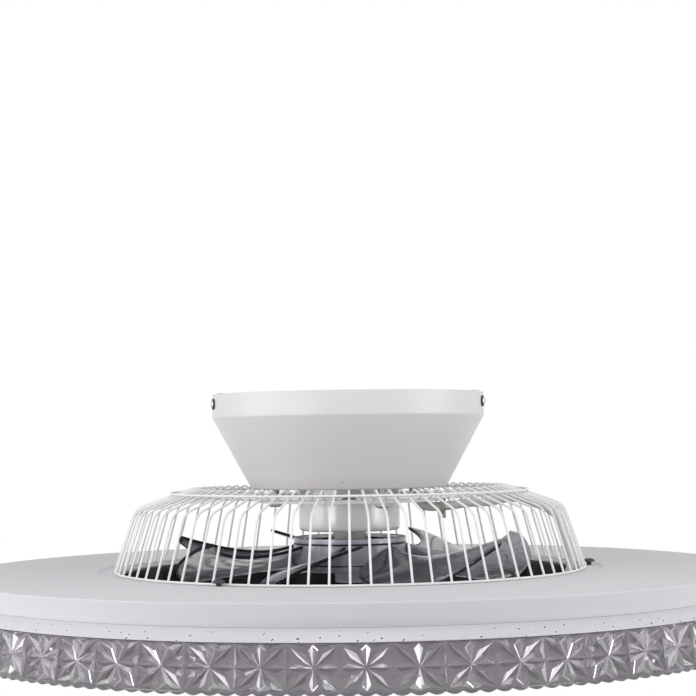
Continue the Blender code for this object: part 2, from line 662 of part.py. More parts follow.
def magnet_ring():
    """The ferrite ring inside the bell."""
    outer = magnet_radius()
    inner = outer - MAGNET_THICKNESS
    top = BELL_TOP - COIL_OVERHANG
    foot = top - STATOR_HEIGHT
    turned("magnet_ring", [(outer, top), (outer, foot), (inner, foot), (inner, top)], MAGNET)


def rotor_bell():
    """The pressed bell round the magnets, open at the top, pressed on the shaft."""
    inner = magnet_radius() + SEAT_GAP
    outer = inner + BELL_WALL
    bore = SHAFT_RADIUS + SEAT_GAP
    boss_foot = HUB_FOOT + HUB_WALL + SEAT_GAP
    turned("rotor_bell", [(outer, BELL_TOP), (outer, BELL_FOOT), (BELL_BOSS_RADIUS, BELL_FOOT),
                          (BELL_BOSS_RADIUS, boss_foot), (bore, boss_foot), (bore, BELL_FLOOR),
                          (inner, BELL_FLOOR), (inner, BELL_TOP)], STEEL)


def blade_points(span_cells, chord_cells):
    """Grid of one blade. Along the span it runs from the horn to the hub, along the chord downwards.

    The upper edge sweeps back from the horn and dips half way in. The chord's angle and drop go from
    their values at the tip to those at the root. The trailing corner at the tip is rounded off.
    """
    span = np.linspace(0, 1, span_cells + 1)[:, None]
    chord = np.linspace(0, 1, chord_cells + 1)[None, :]
    bulge = span * (1 - span)
    root_radius = HUB_RADIUS - HUB_WALL / 2
    past = np.clip((chord - CORNER_START_SHARE) / (1 - CORNER_START_SHARE), 0, 1)
    radius = root_radius + (BLADE_RADIUS - CORNER_ROUND * past ** 2 - root_radius) * (1 - span)
    upper = -ROOT_SWEEP * span - EDGE_BOW * bulge
    angle = upper - (TIP_CHORD_ANGLE + (ROOT_CHORD_ANGLE - TIP_CHORD_ANGLE) * span) * chord
    horn = HUB_TOP - HORN_RISE
    root_top = HUB_TOP - ROOT_TOP_DROP
    tip_foot = HUB_FOOT - TIP_BOTTOM_DROP
    root_foot = HUB_FOOT + ROOT_BOTTOM_RISE
    high = horn + (root_top - horn) * span - EDGE_DIP * 4 * bulge
    low = tip_foot + (root_foot - tip_foot) * span
    height = high + (low - high) * ((1 - CAMBER_SHARE) * chord + CAMBER_SHARE * chord ** 2)
    turn = np.radians(angle)
    return np.stack([radius * np.sin(turn), -radius * np.cos(turn), height], -1)


def impeller():
    """The smoky hub cup and its blades, one moulding. The blades are thin shells joined to the cup."""
    bead = HUB_FOOT + HUB_BEAD_HEIGHT
    inner = HUB_RADIUS - HUB_WALL
    proud = HUB_RADIUS + HUB_BEAD_PROUD
    bore = SHAFT_RADIUS + SEAT_GAP
    floor = HUB_FOOT + HUB_WALL
    profile = [(HUB_RADIUS, HUB_TOP), (HUB_RADIUS, bead), (proud, bead - HUB_BEAD_PROUD), (proud, HUB_FOOT),
               (bore, HUB_FOOT), (bore, floor), (inner, floor), (inner, HUB_TOP)]
    obj = turned("impeller", profile, SMOKE, MID_STEPS)
    span_cells, chord_cells = 6, 3
    grid = blade_points(span_cells, chord_cells)
    row = chord_cells + 1
    faces = [(i * row + j, i * row + j + 1, (i + 1) * row + j + 1, (i + 1) * row + j)
             for i in range(span_cells) for j in range(chord_cells)]
    points = grid.reshape(-1, 3)
    verts, cells = [], []
    for number in range(BLADE_COUNT):
        turn = Matrix.Rotation(math.radians(REST_AZIMUTH + number * 360 / BLADE_COUNT), 3, "Z")
        start = len(verts)
        verts += [turn @ Vector(p) for p in points]
        cells += [tuple(start + v for v in face) for face in faces]
    blades = mesh_object("blade_shells", verts, faces=cells)
    shell = blades.modifiers.new("Thickness", "SOLIDIFY")
    shell.thickness = BLADE_THICKNESS
    shell.offset = 0
    return combine(obj, blades, "UNION")


def impeller_nut():
    """The fluted cap nut under the hub."""
    top = HUB_FOOT - SEAT_GAP
    foot = top - NUT_CAP_HEIGHT
    bore = SHAFT_RADIUS + SEAT_GAP
    end = SHAFT_FOOT - SEAT_GAP
    edge = NUT_FLUTE_RADIUS
    profile = [(0, end), (bore, end), (bore, top), (NUT_CAP_RADIUS, top), (NUT_CAP_RADIUS, foot + edge),
               (NUT_CAP_RADIUS - edge, foot), (0, foot)]
    obj = turned("impeller_nut", profile, SHELL, NUT_FLUTES * 2)
    middle = NUT_CAP_RADIUS + NUT_FLUTE_RADIUS / 3
    places = [upright(i * 360 / NUT_FLUTES, middle, foot) for i in range(NUT_FLUTES)]
    return drilled(obj, NUT_FLUTE_RADIUS, places, NUT_CAP_HEIGHT * 4, 6)


def light_pan():
    """The white pan: a flat top with a shallow recess for the cage, and a fascia that leans in."""
    top, wall, edge = PAN_TOP, PAN_WALL, PAN_EDGE
    inner = DUCT_RADIUS + SEAT_GAP
    profile = [(inner, RECESS_TOP), (RECESS_RADIUS, RECESS_TOP), (RECESS_RADIUS + RECESS_DEPTH, top),
               (PAN_RADIUS - edge, top), (PAN_RADIUS, top - edge), (FASCIA_FOOT_RADIUS, FASCIA_FOOT),
               (FASCIA_FOOT_RADIUS - wall, FASCIA_FOOT), (PAN_RADIUS - wall - edge, top - wall),
               (RECESS_RADIUS + RECESS_DEPTH + wall, top - wall), (RECESS_RADIUS + wall, RECESS_TOP - wall),
               (inner, RECESS_TOP - wall)]
    obj = turned("light_pan", profile, PAINT, BIG_STEPS)
    places = [upright(a, FOOT_RADIUS + CLAMP_OFFSET, RECESS_TOP) for a in CLAMP_AZIMUTHS]
    return drilled(obj, CLAMP_SCREW_RADIUS + SEAT_GAP, places, PAN_WALL * 6, SCREW_STEPS)


def air_duct():
    """The dark tube through the light, with a flange under the pan and lips for diffuser and grille."""
    wall = DUCT_WALL
    inner, outer = DUCT_RADIUS, DUCT_RADIUS + wall
    flange = outer + DUCT_FLANGE
    profile = [(flange, DUCT_TOP), (flange, DUCT_TOP - wall), (outer, DUCT_TOP - wall),
               (outer, DUCT_LIP_TOP), (outer + DUCT_LIP_OUT, DUCT_LIP_TOP),
               (outer + DUCT_LIP_OUT, DUCT_FOOT), (inner - DUCT_LIP_IN, DUCT_FOOT),
               (inner - DUCT_LIP_IN, DUCT_LIP_TOP), (inner, DUCT_LIP_TOP), (inner, DUCT_TOP)]
    obj = turned("air_duct", profile, DARK, BIG_STEPS)
    hole = [outward(CABLE_AZIMUTH, inner, GROMMET_LEVEL)]
    obj = drilled(obj, CABLE_RADIUS + SEAT_GAP * 2 + GROMMET_WALL, hole, wall * 8, SCREW_STEPS * 2)
    clamps = [upright(a, FOOT_RADIUS + CLAMP_OFFSET, DUCT_TOP) for a in CLAMP_AZIMUTHS]
    obj = drilled(obj, CLAMP_SCREW_RADIUS + SEAT_GAP, clamps, wall * 6, SCREW_STEPS)
    screws = [upright(a, grille_screw_radius(), DUCT_FOOT) for a in CLAMP_AZIMUTHS]
    return drilled(obj, CLAMP_SCREW_RADIUS + SEAT_GAP, screws, wall * 6, SCREW_STEPS)


def led_board():
    """The ring of aluminium board that carries the lamps, under the pan."""
    top = PAN_TOP - PAN_WALL - SEAT_GAP
    foot = top - BOARD_THICKNESS
    turned("led_board", [(BOARD_OUT_RADIUS, top), (BOARD_OUT_RADIUS, foot), (BOARD_IN_RADIUS, foot),
                         (BOARD_IN_RADIUS, top)], ALUMINIUM, BIG_STEPS)


def diffuser():
    """The opal tray: a band that flares under the fascia, a shell inside the ring, and a flat floor."""
    wall = DIFFUSER_WALL
    inner = DUCT_RADIUS + DUCT_WALL + SEAT_GAP
    shell = DIFFUSER_SHELL_RADIUS
    profile = [(FASCIA_FOOT_RADIUS, BAND_TOP), (BAND_FOOT_RADIUS, BAND_FOOT + wall / 4),
               (BAND_FOOT_RADIUS, BAND_FOOT), (shell, BAND_FOOT), (shell, DIFFUSER_FOOT + wall),
               (shell - wall, DIFFUSER_FOOT), (inner, DIFFUSER_FOOT), (inner, DIFFUSER_FOOT + wall),
               (shell - wall * 3 / 2, DIFFUSER_FOOT + wall),
               (shell - wall, DIFFUSER_FOOT + wall * 3 / 2), (shell - wall, BAND_FOOT + wall),
               (FASCIA_FOOT_RADIUS - wall, BAND_TOP)]
    turned("diffuser", profile, OPAL, BIG_STEPS)


def ring_point(turn, height, cut):
    """A point on the flared face of the clear ring, cut back into it."""
    share = min((RING_TOP - height) / RING_HEIGHT, 1)
    radius = BAND_FOOT_RADIUS + (RING_FOOT_RADIUS - BAND_FOOT_RADIUS) * share - cut
    return (radius * math.sin(turn), -radius * math.cos(turn), height)


def star_faces(turns):
    """Faces of one star-cut tile between three angles.

    The corners and the middles of the edges are at the full radius. Eight rays run from the centre
    to them, and the eight points between the rays are cut back into the ring.
    """
    first, middle, last = turns
    level = (RING_TOP + RING_FOOT) / 2
    around = [(last, level), (last, RING_TOP), (middle, RING_TOP), (first, RING_TOP), (first, level),
              (first, RING_FOOT), (middle, RING_FOOT), (last, RING_FOOT)]
    rim = [ring_point(turn, height, 0) for turn, height in around]
    centre = ring_point(middle, level, STAR_CENTRE)
    far, near = RAY_SHARE, RAY_SHARE / 2
    shares = [(far, near), (near, far), (-near, far), (-far, near), (-far, -near), (-near, -far),
              (near, -far), (far, -near)]
    half = RING_HEIGHT / 2
    cuts = [ring_point(middle + (last - middle) * x, level + half * y, STAR_CUT) for x, y in shares]
    faces = []
    for here, cut in enumerate(cuts):
        after = (here + 1) % len(cuts)
        faces += [(centre, cut, rim[after]), (centre, rim[after], cuts[after]), (cut, rim[here], rim[after])]
    return faces


def border_faces(turns):
    """Faces of one tile's notched lip, its top edge, its lower edge and its back."""
    back = DIFFUSER_SHELL_RADIUS + SEAT_GAP * 2
    low = RING_FOOT - RING_LIP
    top, foot = ([ring_point(turn, height, 0) for turn in turns] for height in (RING_TOP, RING_FOOT))
    lip_levels = (low + LIP_NOTCH, low, low + LIP_NOTCH)
    lip = [ring_point(turn, height, RING_LIP) for turn, height in zip(turns, lip_levels)]
    rear = [(back * math.sin(turn), -back * math.cos(turn), height) for height in (RING_TOP, low)
            for turn in (turns[0], turns[-1])]
    return [(foot[0], foot[1], lip[1], lip[0]), (foot[1], foot[2], lip[2], lip[1]),
            (top[0], top[1], top[2], rear[1], rear[0]), (lip[0], lip[1], rear[2]),
            (lip[1], lip[2], rear[3], rear[2]), (rear[0], rear[1], rear[3], rear[2])]


def crystal_ring():
    """The clear ring of star-cut tiles."""
    half = math.pi / TILE_COUNT
    faces = []
    for tile in range(TILE_COUNT):
        start = (tile + TILE_PHASE_SHARE) * half * 2
        turns = [start, start + half, start + half * 2]
        faces += star_faces(turns) + border_faces(turns)
    points = [point for face in faces for point in face]
    ends = np.cumsum([len(face) for face in faces])
    cells = [tuple(range(end - len(face), end)) for face, end in zip(faces, ends)]
    obj = keep(mesh_object("crystal_ring", points, faces=cells), CRYSTAL)
    weld(obj.data)
    return obj


def grille_screw_radius():
    """The grille's screws sit in the middle of the duct's inner lip."""
    return DUCT_RADIUS - DUCT_LIP_IN / 2


def arc(radius, first, last, count):
    """Points on an arc, as (x, y)."""
    return [(radius * math.sin(t), -radius * math.cos(t)) for t in np.linspace(first, last, count)]


def flat_outline(name, loops, thickness, finish):
    """A flat plate from closed loops: the first is the outline, the rest are openings."""
    curve = bpy.data.curves.new(name, "CURVE")
    curve.dimensions = "2D"
    curve.fill_mode = "BOTH"
    curve.extrude = thickness / 2
    for loop in loops:
        spline = curve.splines.new("POLY")
        spline.points.add(len(loop) - 1)
        for point, (x, y) in zip(spline.points, loop):
            point.co = (x, y, 0, 1)
        spline.use_cyclic_u = True
    obj = bpy.data.objects.new(name, curve)
    PARTS.objects.link(obj)
    obj = baked(obj)
    obj.data.materials.clear()
    obj.data.materials.append(finish)
    return obj


def bottom_grille():
    """The guard in the duct's mouth: two rings of slots between radial bars."""
    radius = DUCT_RADIUS - SEAT_GAP
    rim = radius - DUCT_LIP_IN
    loops = [arc(radius, 0, 2 * math.pi, BIG_STEPS + 1)[:-1]]
    rings = ((GRILLE_MID_RADIUS + GRILLE_BAR, rim, OUTER_SLOTS),
             (GRILLE_CENTRE_RADIUS, GRILLE_MID_RADIUS, INNER_SLOTS))
    for low, high, count in rings:
        for i in range(count):
            centre = 2 * math.pi * (i + 0.5) / count
            far = math.pi / count - GRILLE_BAR / 2 / high
            close = math.pi / count - GRILLE_BAR / 2 / low
            outside = arc(high, centre - far, centre + far, 2)
            loops.append(outside + arc(low, centre + close, centre - close, 2))
    obj = flat_outline("bottom_grille", loops, GRILLE_THICKNESS, SHELL)
    obj.location.z = DUCT_LIP_TOP + SEAT_GAP + GRILLE_THICKNESS / 2
    places = [upright(a, grille_screw_radius(), obj.location.z) for a in CLAMP_AZIMUTHS]
    return drilled(obj, CLAMP_SCREW_RADIUS + SEAT_GAP, places, GRILLE_THICKNESS * 4, SCREW_STEPS)


def grille_cap():
    """The plain disc that closes the middle of the grille from below."""
    top = DUCT_LIP_TOP
    edge = CAP_THICKNESS / 2
    foot = top - CAP_THICKNESS
    profile = [(0, top), (CAP_RADIUS, top), (CAP_RADIUS, top - edge), (CAP_RADIUS - edge, foot), (0, foot)]
    turned("grille_cap", profile, SHELL)


def clamp_screws():
    """Washer-head screws: on the cage's foot ring from above, and on the grille from above."""
    ring_seat = FOOT_LEVEL + WIRE_RADIUS + SEAT_GAP
    grille_seat = DUCT_LIP_TOP + SEAT_GAP * 2 + GRILLE_THICKNESS
    sets = (("cage_screw", FOOT_RADIUS + CLAMP_OFFSET, ring_seat, CLAMP_SCREW_LENGTH),
            ("grille_screw", grille_screw_radius(), grille_seat, GRILLE_SCREW_LENGTH))
    for name, radius, seat, length in sets:
        for number, azimuth in enumerate(CLAMP_AZIMUTHS, 1):
            screw_body(f"{name}_{number}", CLAMP_HEAD_RADIUS, CLAMP_HEAD_HEIGHT, CLAMP_SCREW_RADIUS, length,
                       upright(azimuth, radius, seat))


def soft_box(name, size, centre, edge, finish):
    """A box with bevelled edges."""
    obj = boxes(name, size, [Matrix.Translation(centre)])
    keep(obj, finish)
    bevel = obj.modifiers.new("Edges", "BEVEL")
    bevel.width = edge
    bevel.segments = 2
    return baked(obj)


def control_box():
    """The receiver and driver box, hung under the strap."""
    height = -STRAP_THICKNESS - SEAT_GAP - BOX_SIZE[2] / 2
    return soft_box("control_box", BOX_SIZE, (0, 0, height), BOX_EDGE, SHELL)


def terminal_block():
    """The block for the mains wires, under the strap beside the box."""
    size = TERMINAL_SIZE
    x = -(FIXING_SLOT_PITCH + FIXING_SLOT_LENGTH) / 2 - size[0] / 2 - SEAT_GAP
    height = -STRAP_THICKNESS - SEAT_GAP - size[2] / 2
    obj = soft_box("terminal_block", size, (x, 0, height), BOX_EDGE / 4, SHELL)
    pitch = size[1] / TERMINAL_WAYS
    places = [Matrix.Translation((x, pitch * (i - (TERMINAL_WAYS - 1) / 2), height))
              @ Matrix.Rotation(math.pi / 2, 4, "Y") for i in range(TERMINAL_WAYS)]
    return drilled(obj, pitch / 4, places, size[0] * 2, SCREW_STEPS)


def cable_route():
    """Centreline of the cable in the plane of its rib, as (radius, height).

    It leaves the control box, goes down through the plate, runs outwards under the rib, down its
    side, and turns out through the duct's wall with a little slack.
    """
    r = CABLE_RADIUS
    box_middle = -STRAP_THICKNESS - BOX_SIZE[2] / 2
    route = [(BOX_SIDE_RADIUS + r, box_middle), (CABLE_HOLE_RADIUS, box_middle - r * 2),
             (CABLE_HOLE_RADIUS, PLATE_FOOT + SEAT_GAP), (CABLE_HOLE_RADIUS + r / 2, PLATE_FOOT - r),
             (CABLE_HOLE_RADIUS + r * 2, CABLE_LEVEL), (TIE_RADIUS + TIE_WIDTH, CABLE_LEVEL),
             (HOOK_RADIUS - r * 5, RIB_LEVEL - CABLE_DROP), (HOOK_RADIUS, RIB_LEVEL - CABLE_DROP),
             (PEAK_RADIUS - r, RIB_LEVEL - r), (PEAK_RADIUS + r * 2, RIB_LEVEL - r / 2)]
    corners = np.array(rib_profile())
    peak, shoulder_in, shoulder_out, foot = corners[2:]
    for share in SLOPE_SHARES:
        route.append(tuple(peak + (shoulder_in - peak) * share - (0, CABLE_DROP)))
    route.append((shoulder_in[0] - r / 2, shoulder_in[1] - r * 2))
    route.append((shoulder_out[0] - r * 3 / 2, shoulder_out[1] - r))
    for share in SIDE_SHARES:
        route.append(tuple(shoulder_out + (foot - shoulder_out) * share - (r * 2, 0)))
    route += [(DUCT_RADIUS - r * 3 / 2, FOOT_LEVEL + r), (DUCT_RADIUS - r * 2, RECESS_TOP - r * 3 / 2)]
    centre = (DUCT_RADIUS - SEAT_GAP * 6, GROMMET_LEVEL + CABLE_BEND)
    for turn in np.linspace(math.pi, math.pi * 3 / 2, 4):
        route.append((centre[0] + CABLE_BEND * math.cos(turn), centre[1] + CABLE_BEND * math.sin(turn)))
    route.append((DUCT_RADIUS + DUCT_WALL + r * 5, GROMMET_LEVEL))
    return route


def light_cable():
    """The sleeved cable from the control box, under one rib of the cage, to the light."""
    route = cable_route()
    curve = bpy.data.curves.new("light_cable", "CURVE")
    curve.dimensions = "3D"
    curve.bevel_depth = CABLE_RADIUS
    curve.bevel_resolution = 1
    curve.use_fill_caps = True
    spline = curve.splines.new("POLY")
    spline.points.add(len(route) - 1)
    along = direction(CABLE_AZIMUTH)
    for point, (radius, height) in zip(spline.points, route):
        spot = along * radius
        point.co = (spot.x, spot.y, height, 1)
    obj = bpy.data.objects.new("light_cable", curve)
    PARTS.objects.link(obj)
    obj = baked(obj)
    obj.data.materials.clear()
    obj.data.materials.append(SLEEVE)
    return obj


def cable_tie():
    """A nylon tie round one rib and the cable under it, with its square head below."""
    rib_side = WIRE_RADIUS + SEAT_GAP * 2
    cable_side = CABLE_RADIUS + SEAT_GAP * 2

    def belt(proud):
        upper = [(math.cos(t) * (rib_side + proud), RIB_LEVEL + math.sin(t) * (rib_side + proud))
                 for t in np.linspace(0, math.pi, 5)]
        lower = [(math.cos(t) * (cable_side + proud), CABLE_LEVEL + math.sin(t) * (cable_side + proud))
                 for t in np.linspace(math.pi, 2 * math.pi, 7)]
        return upper + lower

    obj = flat_outline("cable_tie", [belt(TIE_THICKNESS), belt(0)], TIE_WIDTH, SHELL)
    side = direction(CABLE_AZIMUTH)
    across = Vector((0, 0, 1)).cross(side)
    obj.matrix_world = Matrix.Translation(side * TIE_RADIUS) @ Matrix(
        (across, Vector((0, 0, 1)), side)).transposed().to_4x4()
    foot = CABLE_LEVEL - cable_side - TIE_THICKNESS / 2 - TIE_HEAD / 2
    place = Matrix.Translation(side * TIE_RADIUS + Vector((0, 0, foot)))
    return combine(obj, boxes("tie_head", (TIE_HEAD, TIE_HEAD, TIE_HEAD), [place]), "UNION")


def cable_grommet():
    """The rubber ring in the duct's wall, grooved for the wall."""
    bore = CABLE_RADIUS + SEAT_GAP
    neck = bore + GROMMET_WALL
    lip = neck + GROMMET_LIP
    half = DUCT_WALL / 2 + SEAT_GAP * 2
    outer = half + GROMMET_LIP
    profile = [(lip, outer), (lip, half), (neck, half), (neck, -half), (lip, -half), (lip, -outer),
               (bore, -outer), (bore, outer)]
    obj = turned("cable_grommet", profile, RUBBER, SMALL_STEPS)
    seat = facet_radius(DUCT_RADIUS + DUCT_WALL / 2, CABLE_AZIMUTH)
    obj.matrix_world = outward(CABLE_AZIMUTH, seat, GROMMET_LEVEL)
    return obj


def build():
    """Build every piece, from the ceiling down."""
    ceiling_bracket()
    canopy()
    canopy_screws()
    control_box()
    terminal_block()
    hanger_plate()
    support_spacer()
    plate_bolts()
    wire_cage()
    cage_band()
    motor_housing()
    motor_screws()
    bearings()
    stator()
    magnet_ring()
    rotor_bell()
    motor_shaft()
    impeller()
    impeller_nut()
    light_cable()
    cable_tie()
    cable_grommet()
    light_pan()
    air_duct()
    led_board()
    diffuser()
    crystal_ring()
    bottom_grille()
    grille_cap()
    clamp_screws()


build()
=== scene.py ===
# %% [markdown]
# # A flush ceiling fan with a ring light
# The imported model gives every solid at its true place. This lesson dresses it: finer surfaces where the
# eye goes, such as the wire cage, the smoky blades and the star-cut ring, and a finish for each part.
# Everything is in metres. The axis of the motor is Z, the ceiling is at height 0, and the front is -Y.

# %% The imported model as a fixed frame
import math

import bmesh
import bpy
import numpy as np
from mathutils import Matrix, Vector


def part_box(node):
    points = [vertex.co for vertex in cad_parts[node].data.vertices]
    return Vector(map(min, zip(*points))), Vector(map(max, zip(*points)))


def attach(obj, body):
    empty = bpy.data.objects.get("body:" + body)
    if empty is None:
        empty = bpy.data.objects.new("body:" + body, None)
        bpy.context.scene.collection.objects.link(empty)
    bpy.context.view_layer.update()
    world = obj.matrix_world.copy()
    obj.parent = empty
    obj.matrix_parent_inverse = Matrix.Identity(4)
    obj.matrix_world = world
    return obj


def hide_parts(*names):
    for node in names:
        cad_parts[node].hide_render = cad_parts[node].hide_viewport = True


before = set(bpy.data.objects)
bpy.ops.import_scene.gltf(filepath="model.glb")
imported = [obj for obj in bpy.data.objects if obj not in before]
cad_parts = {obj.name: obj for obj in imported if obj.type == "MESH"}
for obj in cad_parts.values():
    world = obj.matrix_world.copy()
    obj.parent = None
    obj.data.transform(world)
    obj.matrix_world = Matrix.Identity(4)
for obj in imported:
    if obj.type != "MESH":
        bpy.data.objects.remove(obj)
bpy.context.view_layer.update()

# %% [markdown]
# ## Camera
# The photograph looks slightly upwards from a little below the canopy, with a long lens. The camera was
# fitted to the rims of the canopy, the cage and the light, so the pieces fall where the picture has them.

# %% Camera
CAMERA_PLACE = (0.0005, -1.0874, -0.0327)
CAMERA_PITCH, CAMERA_ROLL = 3.22, -0.76
LENS_MM, SENSOR_MM = 89.03, 36
NEAREST = 0.01


def put(name, data):
    """A new object in the scene, with this camera, mesh or lamp."""
    made = bpy.data.objects.new(name, data)
    bpy.context.scene.collection.objects.link(made)
    return made


camera = put("camera", bpy.data.cameras.new("camera"))
camera.data.lens = LENS_MM
camera.data.sensor_width = SENSOR_MM
camera.data.clip_start = NEAREST
pitch = Matrix.Rotation(math.radians(90 + CAMERA_PITCH), 4, "X")
roll = Matrix.Rotation(math.radians(CAMERA_ROLL), 4, "Z")
camera.matrix_world = Matrix.Translation(CAMERA_PLACE) @ pitch @ roll
bpy.context.scene.camera = camera
bpy.context.scene.view_settings.view_transform = "Standard"
print("camera with a lens of", LENS_MM, "mm")

# %% [markdown]
# ## Colours and nodes
# Paint and plastic are given as sRGB hex codes. The renderer works with linear light, so one
# function turns a code into linear values. A second one adds a shader node with its settings and links.


# %% Colour and node helpers
def srgb(code):
    """A hex colour as linear RGBA: small values over 12.92, the rest shifted and raised to 2.4."""
    channel = np.array([int(code[i:i + 2], 16) for i in (1, 3, 5)]) / 255
    linear = np.where(channel <= 0.04045, channel / 12.92, ((channel + 0.055) / 1.055) ** 2.4)
    return (*linear, 1.0)


def feed(made, inputs):
    """Give each input of a node a value, or a link to a socket or to another node's first output."""
    for name, value in dict(inputs).items():
        value = value.outputs[0] if isinstance(value, bpy.types.Node) else value
        if isinstance(value, bpy.types.NodeSocket):
            made.id_data.links.new(value, made.inputs[name])
        else:
            made.inputs[name].default_value = value
    return made


def node(tree, kind, inputs=(), **settings):
    """Add a shader node of a kind with its settings, and feed its inputs."""
    made = tree.nodes.new("ShaderNode" + kind)
    for name, value in settings.items():
        setattr(made, name, value)
    return feed(made, inputs)


def finish(name, colour, roughness, **shader_inputs):
    """A Principled material with constant settings. The caller adds its pattern."""
    made = bpy.data.materials.new(name)
    made.use_nodes = True
    shader = made.node_tree.nodes["Principled BSDF"]
    feed(shader, {"Base Color": srgb(colour), "Roughness": roughness})
    feed(shader, {key.replace("_", " "): value for key, value in shader_inputs.items()})
    return made, made.node_tree, shader


def per_metre(millimetres):
    """How many cells of a pattern fit in a metre, for a Scale input on coordinates in metres."""
    return 1000 / millimetres


# %% [markdown]
# ## Surfaces
# Nearly everything here is either turned on a lathe, so a profile carried round an axis, or bent from
# wire, so a circle carried along a path. Both are grids of points, so one function turns any grid of
# points into a mesh. Another joins doubled points at poles and seams, and points the faces outwards.


# %% Grid of points to mesh
WELD = 0.000002
SHARP = math.radians(32)


def surface(name, points, wrap=(False, False), across=None, along=None):
    """A mesh from grids of points of shape (copies, rows, columns, 3). Each cell of a grid is one face.

    wrap joins the last row or column to the first. across and along give the UV of the rows and the
    columns in metres, with one more value where the grid wraps.
    """
    copies, rows, columns = points.shape[:3]
    copy = np.arange(copies)[:, None, None]
    row = np.arange(rows if wrap[0] else rows - 1)[None, :, None]
    column = np.arange(columns if wrap[1] else columns - 1)[None, None, :]

    def corner(down, right):
        return (copy * rows + (row + down) % rows) * columns + (column + right) % columns

    steps = ((0, 0), (0, 1), (1, 1), (1, 0))
    quads = np.stack([corner(*step) for step in steps], -1).reshape(-1, 4)
    mesh = bpy.data.meshes.new(name)
    mesh.vertices.add(copies * rows * columns)
    mesh.vertices.foreach_set("co", points.astype(np.float32).ravel())
    mesh.loops.add(quads.size)
    mesh.loops.foreach_set("vertex_index", quads.astype(np.int32).ravel())
    mesh.polygons.add(len(quads))
    mesh.polygons.foreach_set("loop_start", np.arange(0, quads.size, 4, dtype=np.int32))
    if across is not None:
        flat = [np.stack(np.broadcast_arrays(across[row + a] + copy * 0, along[column + b] + copy * 0), -1)
                for a, b in steps]
        layer = mesh.uv_layers.new(name="UVMap")
        layer.data.foreach_set("uv", np.stack(flat, -2).astype(np.float32).ravel())
    mesh.update(calc_edges=True)
    return mesh


def clean(mesh):
    """Merge doubled points and point the faces outwards."""
    work = bmesh.new()
    work.from_mesh(mesh)
    bmesh.ops.remove_doubles(work, verts=work.verts[:], dist=WELD)
    bmesh.ops.recalc_face_normals(work, faces=work.faces[:])
    work.to_mesh(mesh)
    work.free()
    return mesh


def joined(name, meshes):
    """One mesh made of several."""
    work = bmesh.new()
    for mesh in meshes:
        work.from_mesh(mesh)
    whole = bpy.data.meshes.new(name)
    work.to_mesh(whole)
    work.free()
    return whole


def place(name, meshes, material, replaced, body="housing", sharp=SHARP):
    """Join meshes into one piece that is smooth up to an angle, dress it, and let it ride on its body in
    place of the CAD nodes."""
    mesh = joined(name, [clean(mesh) for mesh in meshes])
    mesh.shade_smooth()
    mesh.set_sharp_from_angle(angle=sharp)
    mesh.materials.append(material)
    piece = put(name, mesh)
    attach(piece, body)
    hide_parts(*replaced)
    print(name, len(mesh.polygons), "faces, stands for", ", ".join(replaced))
    return piece


def face_middles(piece):
    """Distance from the axis and level of the middle of each face."""
    middle = np.empty(len(piece.data.polygons) * 3)
    piece.data.polygons.foreach_get("center", middle)
    middle = middle.reshape(-1, 3)
    return np.hypot(middle[:, 0], middle[:, 1]), middle[:, 2]


def refinish(piece, numbers, *materials):
    """Add more materials to a piece, and give each face the number of its own."""
    for material in materials:
        piece.data.materials.append(material)
    piece.data.polygons.foreach_set("material_index", numbers.astype(np.int32))


# %% Rounded outlines and turned surfaces
def rounded(corners, cuts=5):
    """A path whose corners are rounded. The last number of a corner is the reach of its rounding, which
    is 0 at the ends of an open path. Each corner becomes a quadratic Bezier curve, which is the sum of
    the start times (1-t)^2, the corner times 2t(1-t) and the end times t^2, with its two ends at that
    reach from the corner, or half way to the next corner where that is nearer."""
    corners = np.asarray(corners, float)
    corners, reach = corners[:, :-1], corners[:, -1]
    ends = []
    for gap in (np.roll(corners, 1, 0) - corners, np.roll(corners, -1, 0) - corners):
        length = np.maximum(np.linalg.norm(gap, axis=1), WELD)
        ends.append((corners + gap * (np.minimum(reach, length / 2) / length)[:, None])[:, None])
    t = np.linspace(0, 1, cuts)[None, :, None]
    path = (1 - t) ** 2 * ends[0] + 2 * t * (1 - t) * corners[:, None] + t ** 2 * ends[1]
    path = path.reshape(-1, corners.shape[1])
    fresh = np.linalg.norm(path - np.roll(path, 1, 0), axis=1) > WELD
    fresh[0] = True
    return path[fresh]


def dense(path, step):
    """The same path with each stretch cut into equal pieces no longer than step."""
    pieces = np.ceil(np.linalg.norm(np.diff(path, axis=0), axis=1) / step).astype(int)
    shares = [i + np.arange(count) / count for i, count in enumerate(pieces)] + [[len(pieces)]]
    columns = [np.interp(np.concatenate(shares), np.arange(len(path)), column) for column in path.T]
    return np.stack(columns, -1)


def turned(name, profile, steps=180, closed=True, shape=None):
    """A profile of (radius, height) turned about Z: x = r sin a, y = -r cos a, for the angle a.
    shape is an optional function of angle, radius and height that returns a changed radius and height.
    closed joins the profile's last point to its first. A profile that ends on the axis needs no join."""
    profile = np.asarray(profile, float)
    angle = np.linspace(0, 2 * np.pi, steps, endpoint=False)[:, None]
    radius = profile[None, :, 0] + angle * 0
    height = profile[None, :, 1] + angle * 0
    if shape is not None:
        radius, height = shape(angle, radius, height)
    points = np.stack([radius * np.sin(angle), -radius * np.cos(angle), height], -1)[None]
    path = np.vstack([profile, profile[:1]]) if closed else profile
    along = np.concatenate([[0], np.cumsum(np.linalg.norm(np.diff(path, axis=0), axis=1))])
    across = np.linspace(0, 2 * np.pi, steps + 1) * profile[:, 0].max()
    return surface(name, points, (True, closed), across, along)


# %% Wires and slabs
def evenly(count, start=0):
    """Azimuths in degrees of so many copies, spread evenly from a start."""
    return start + np.arange(count) * 360 / count


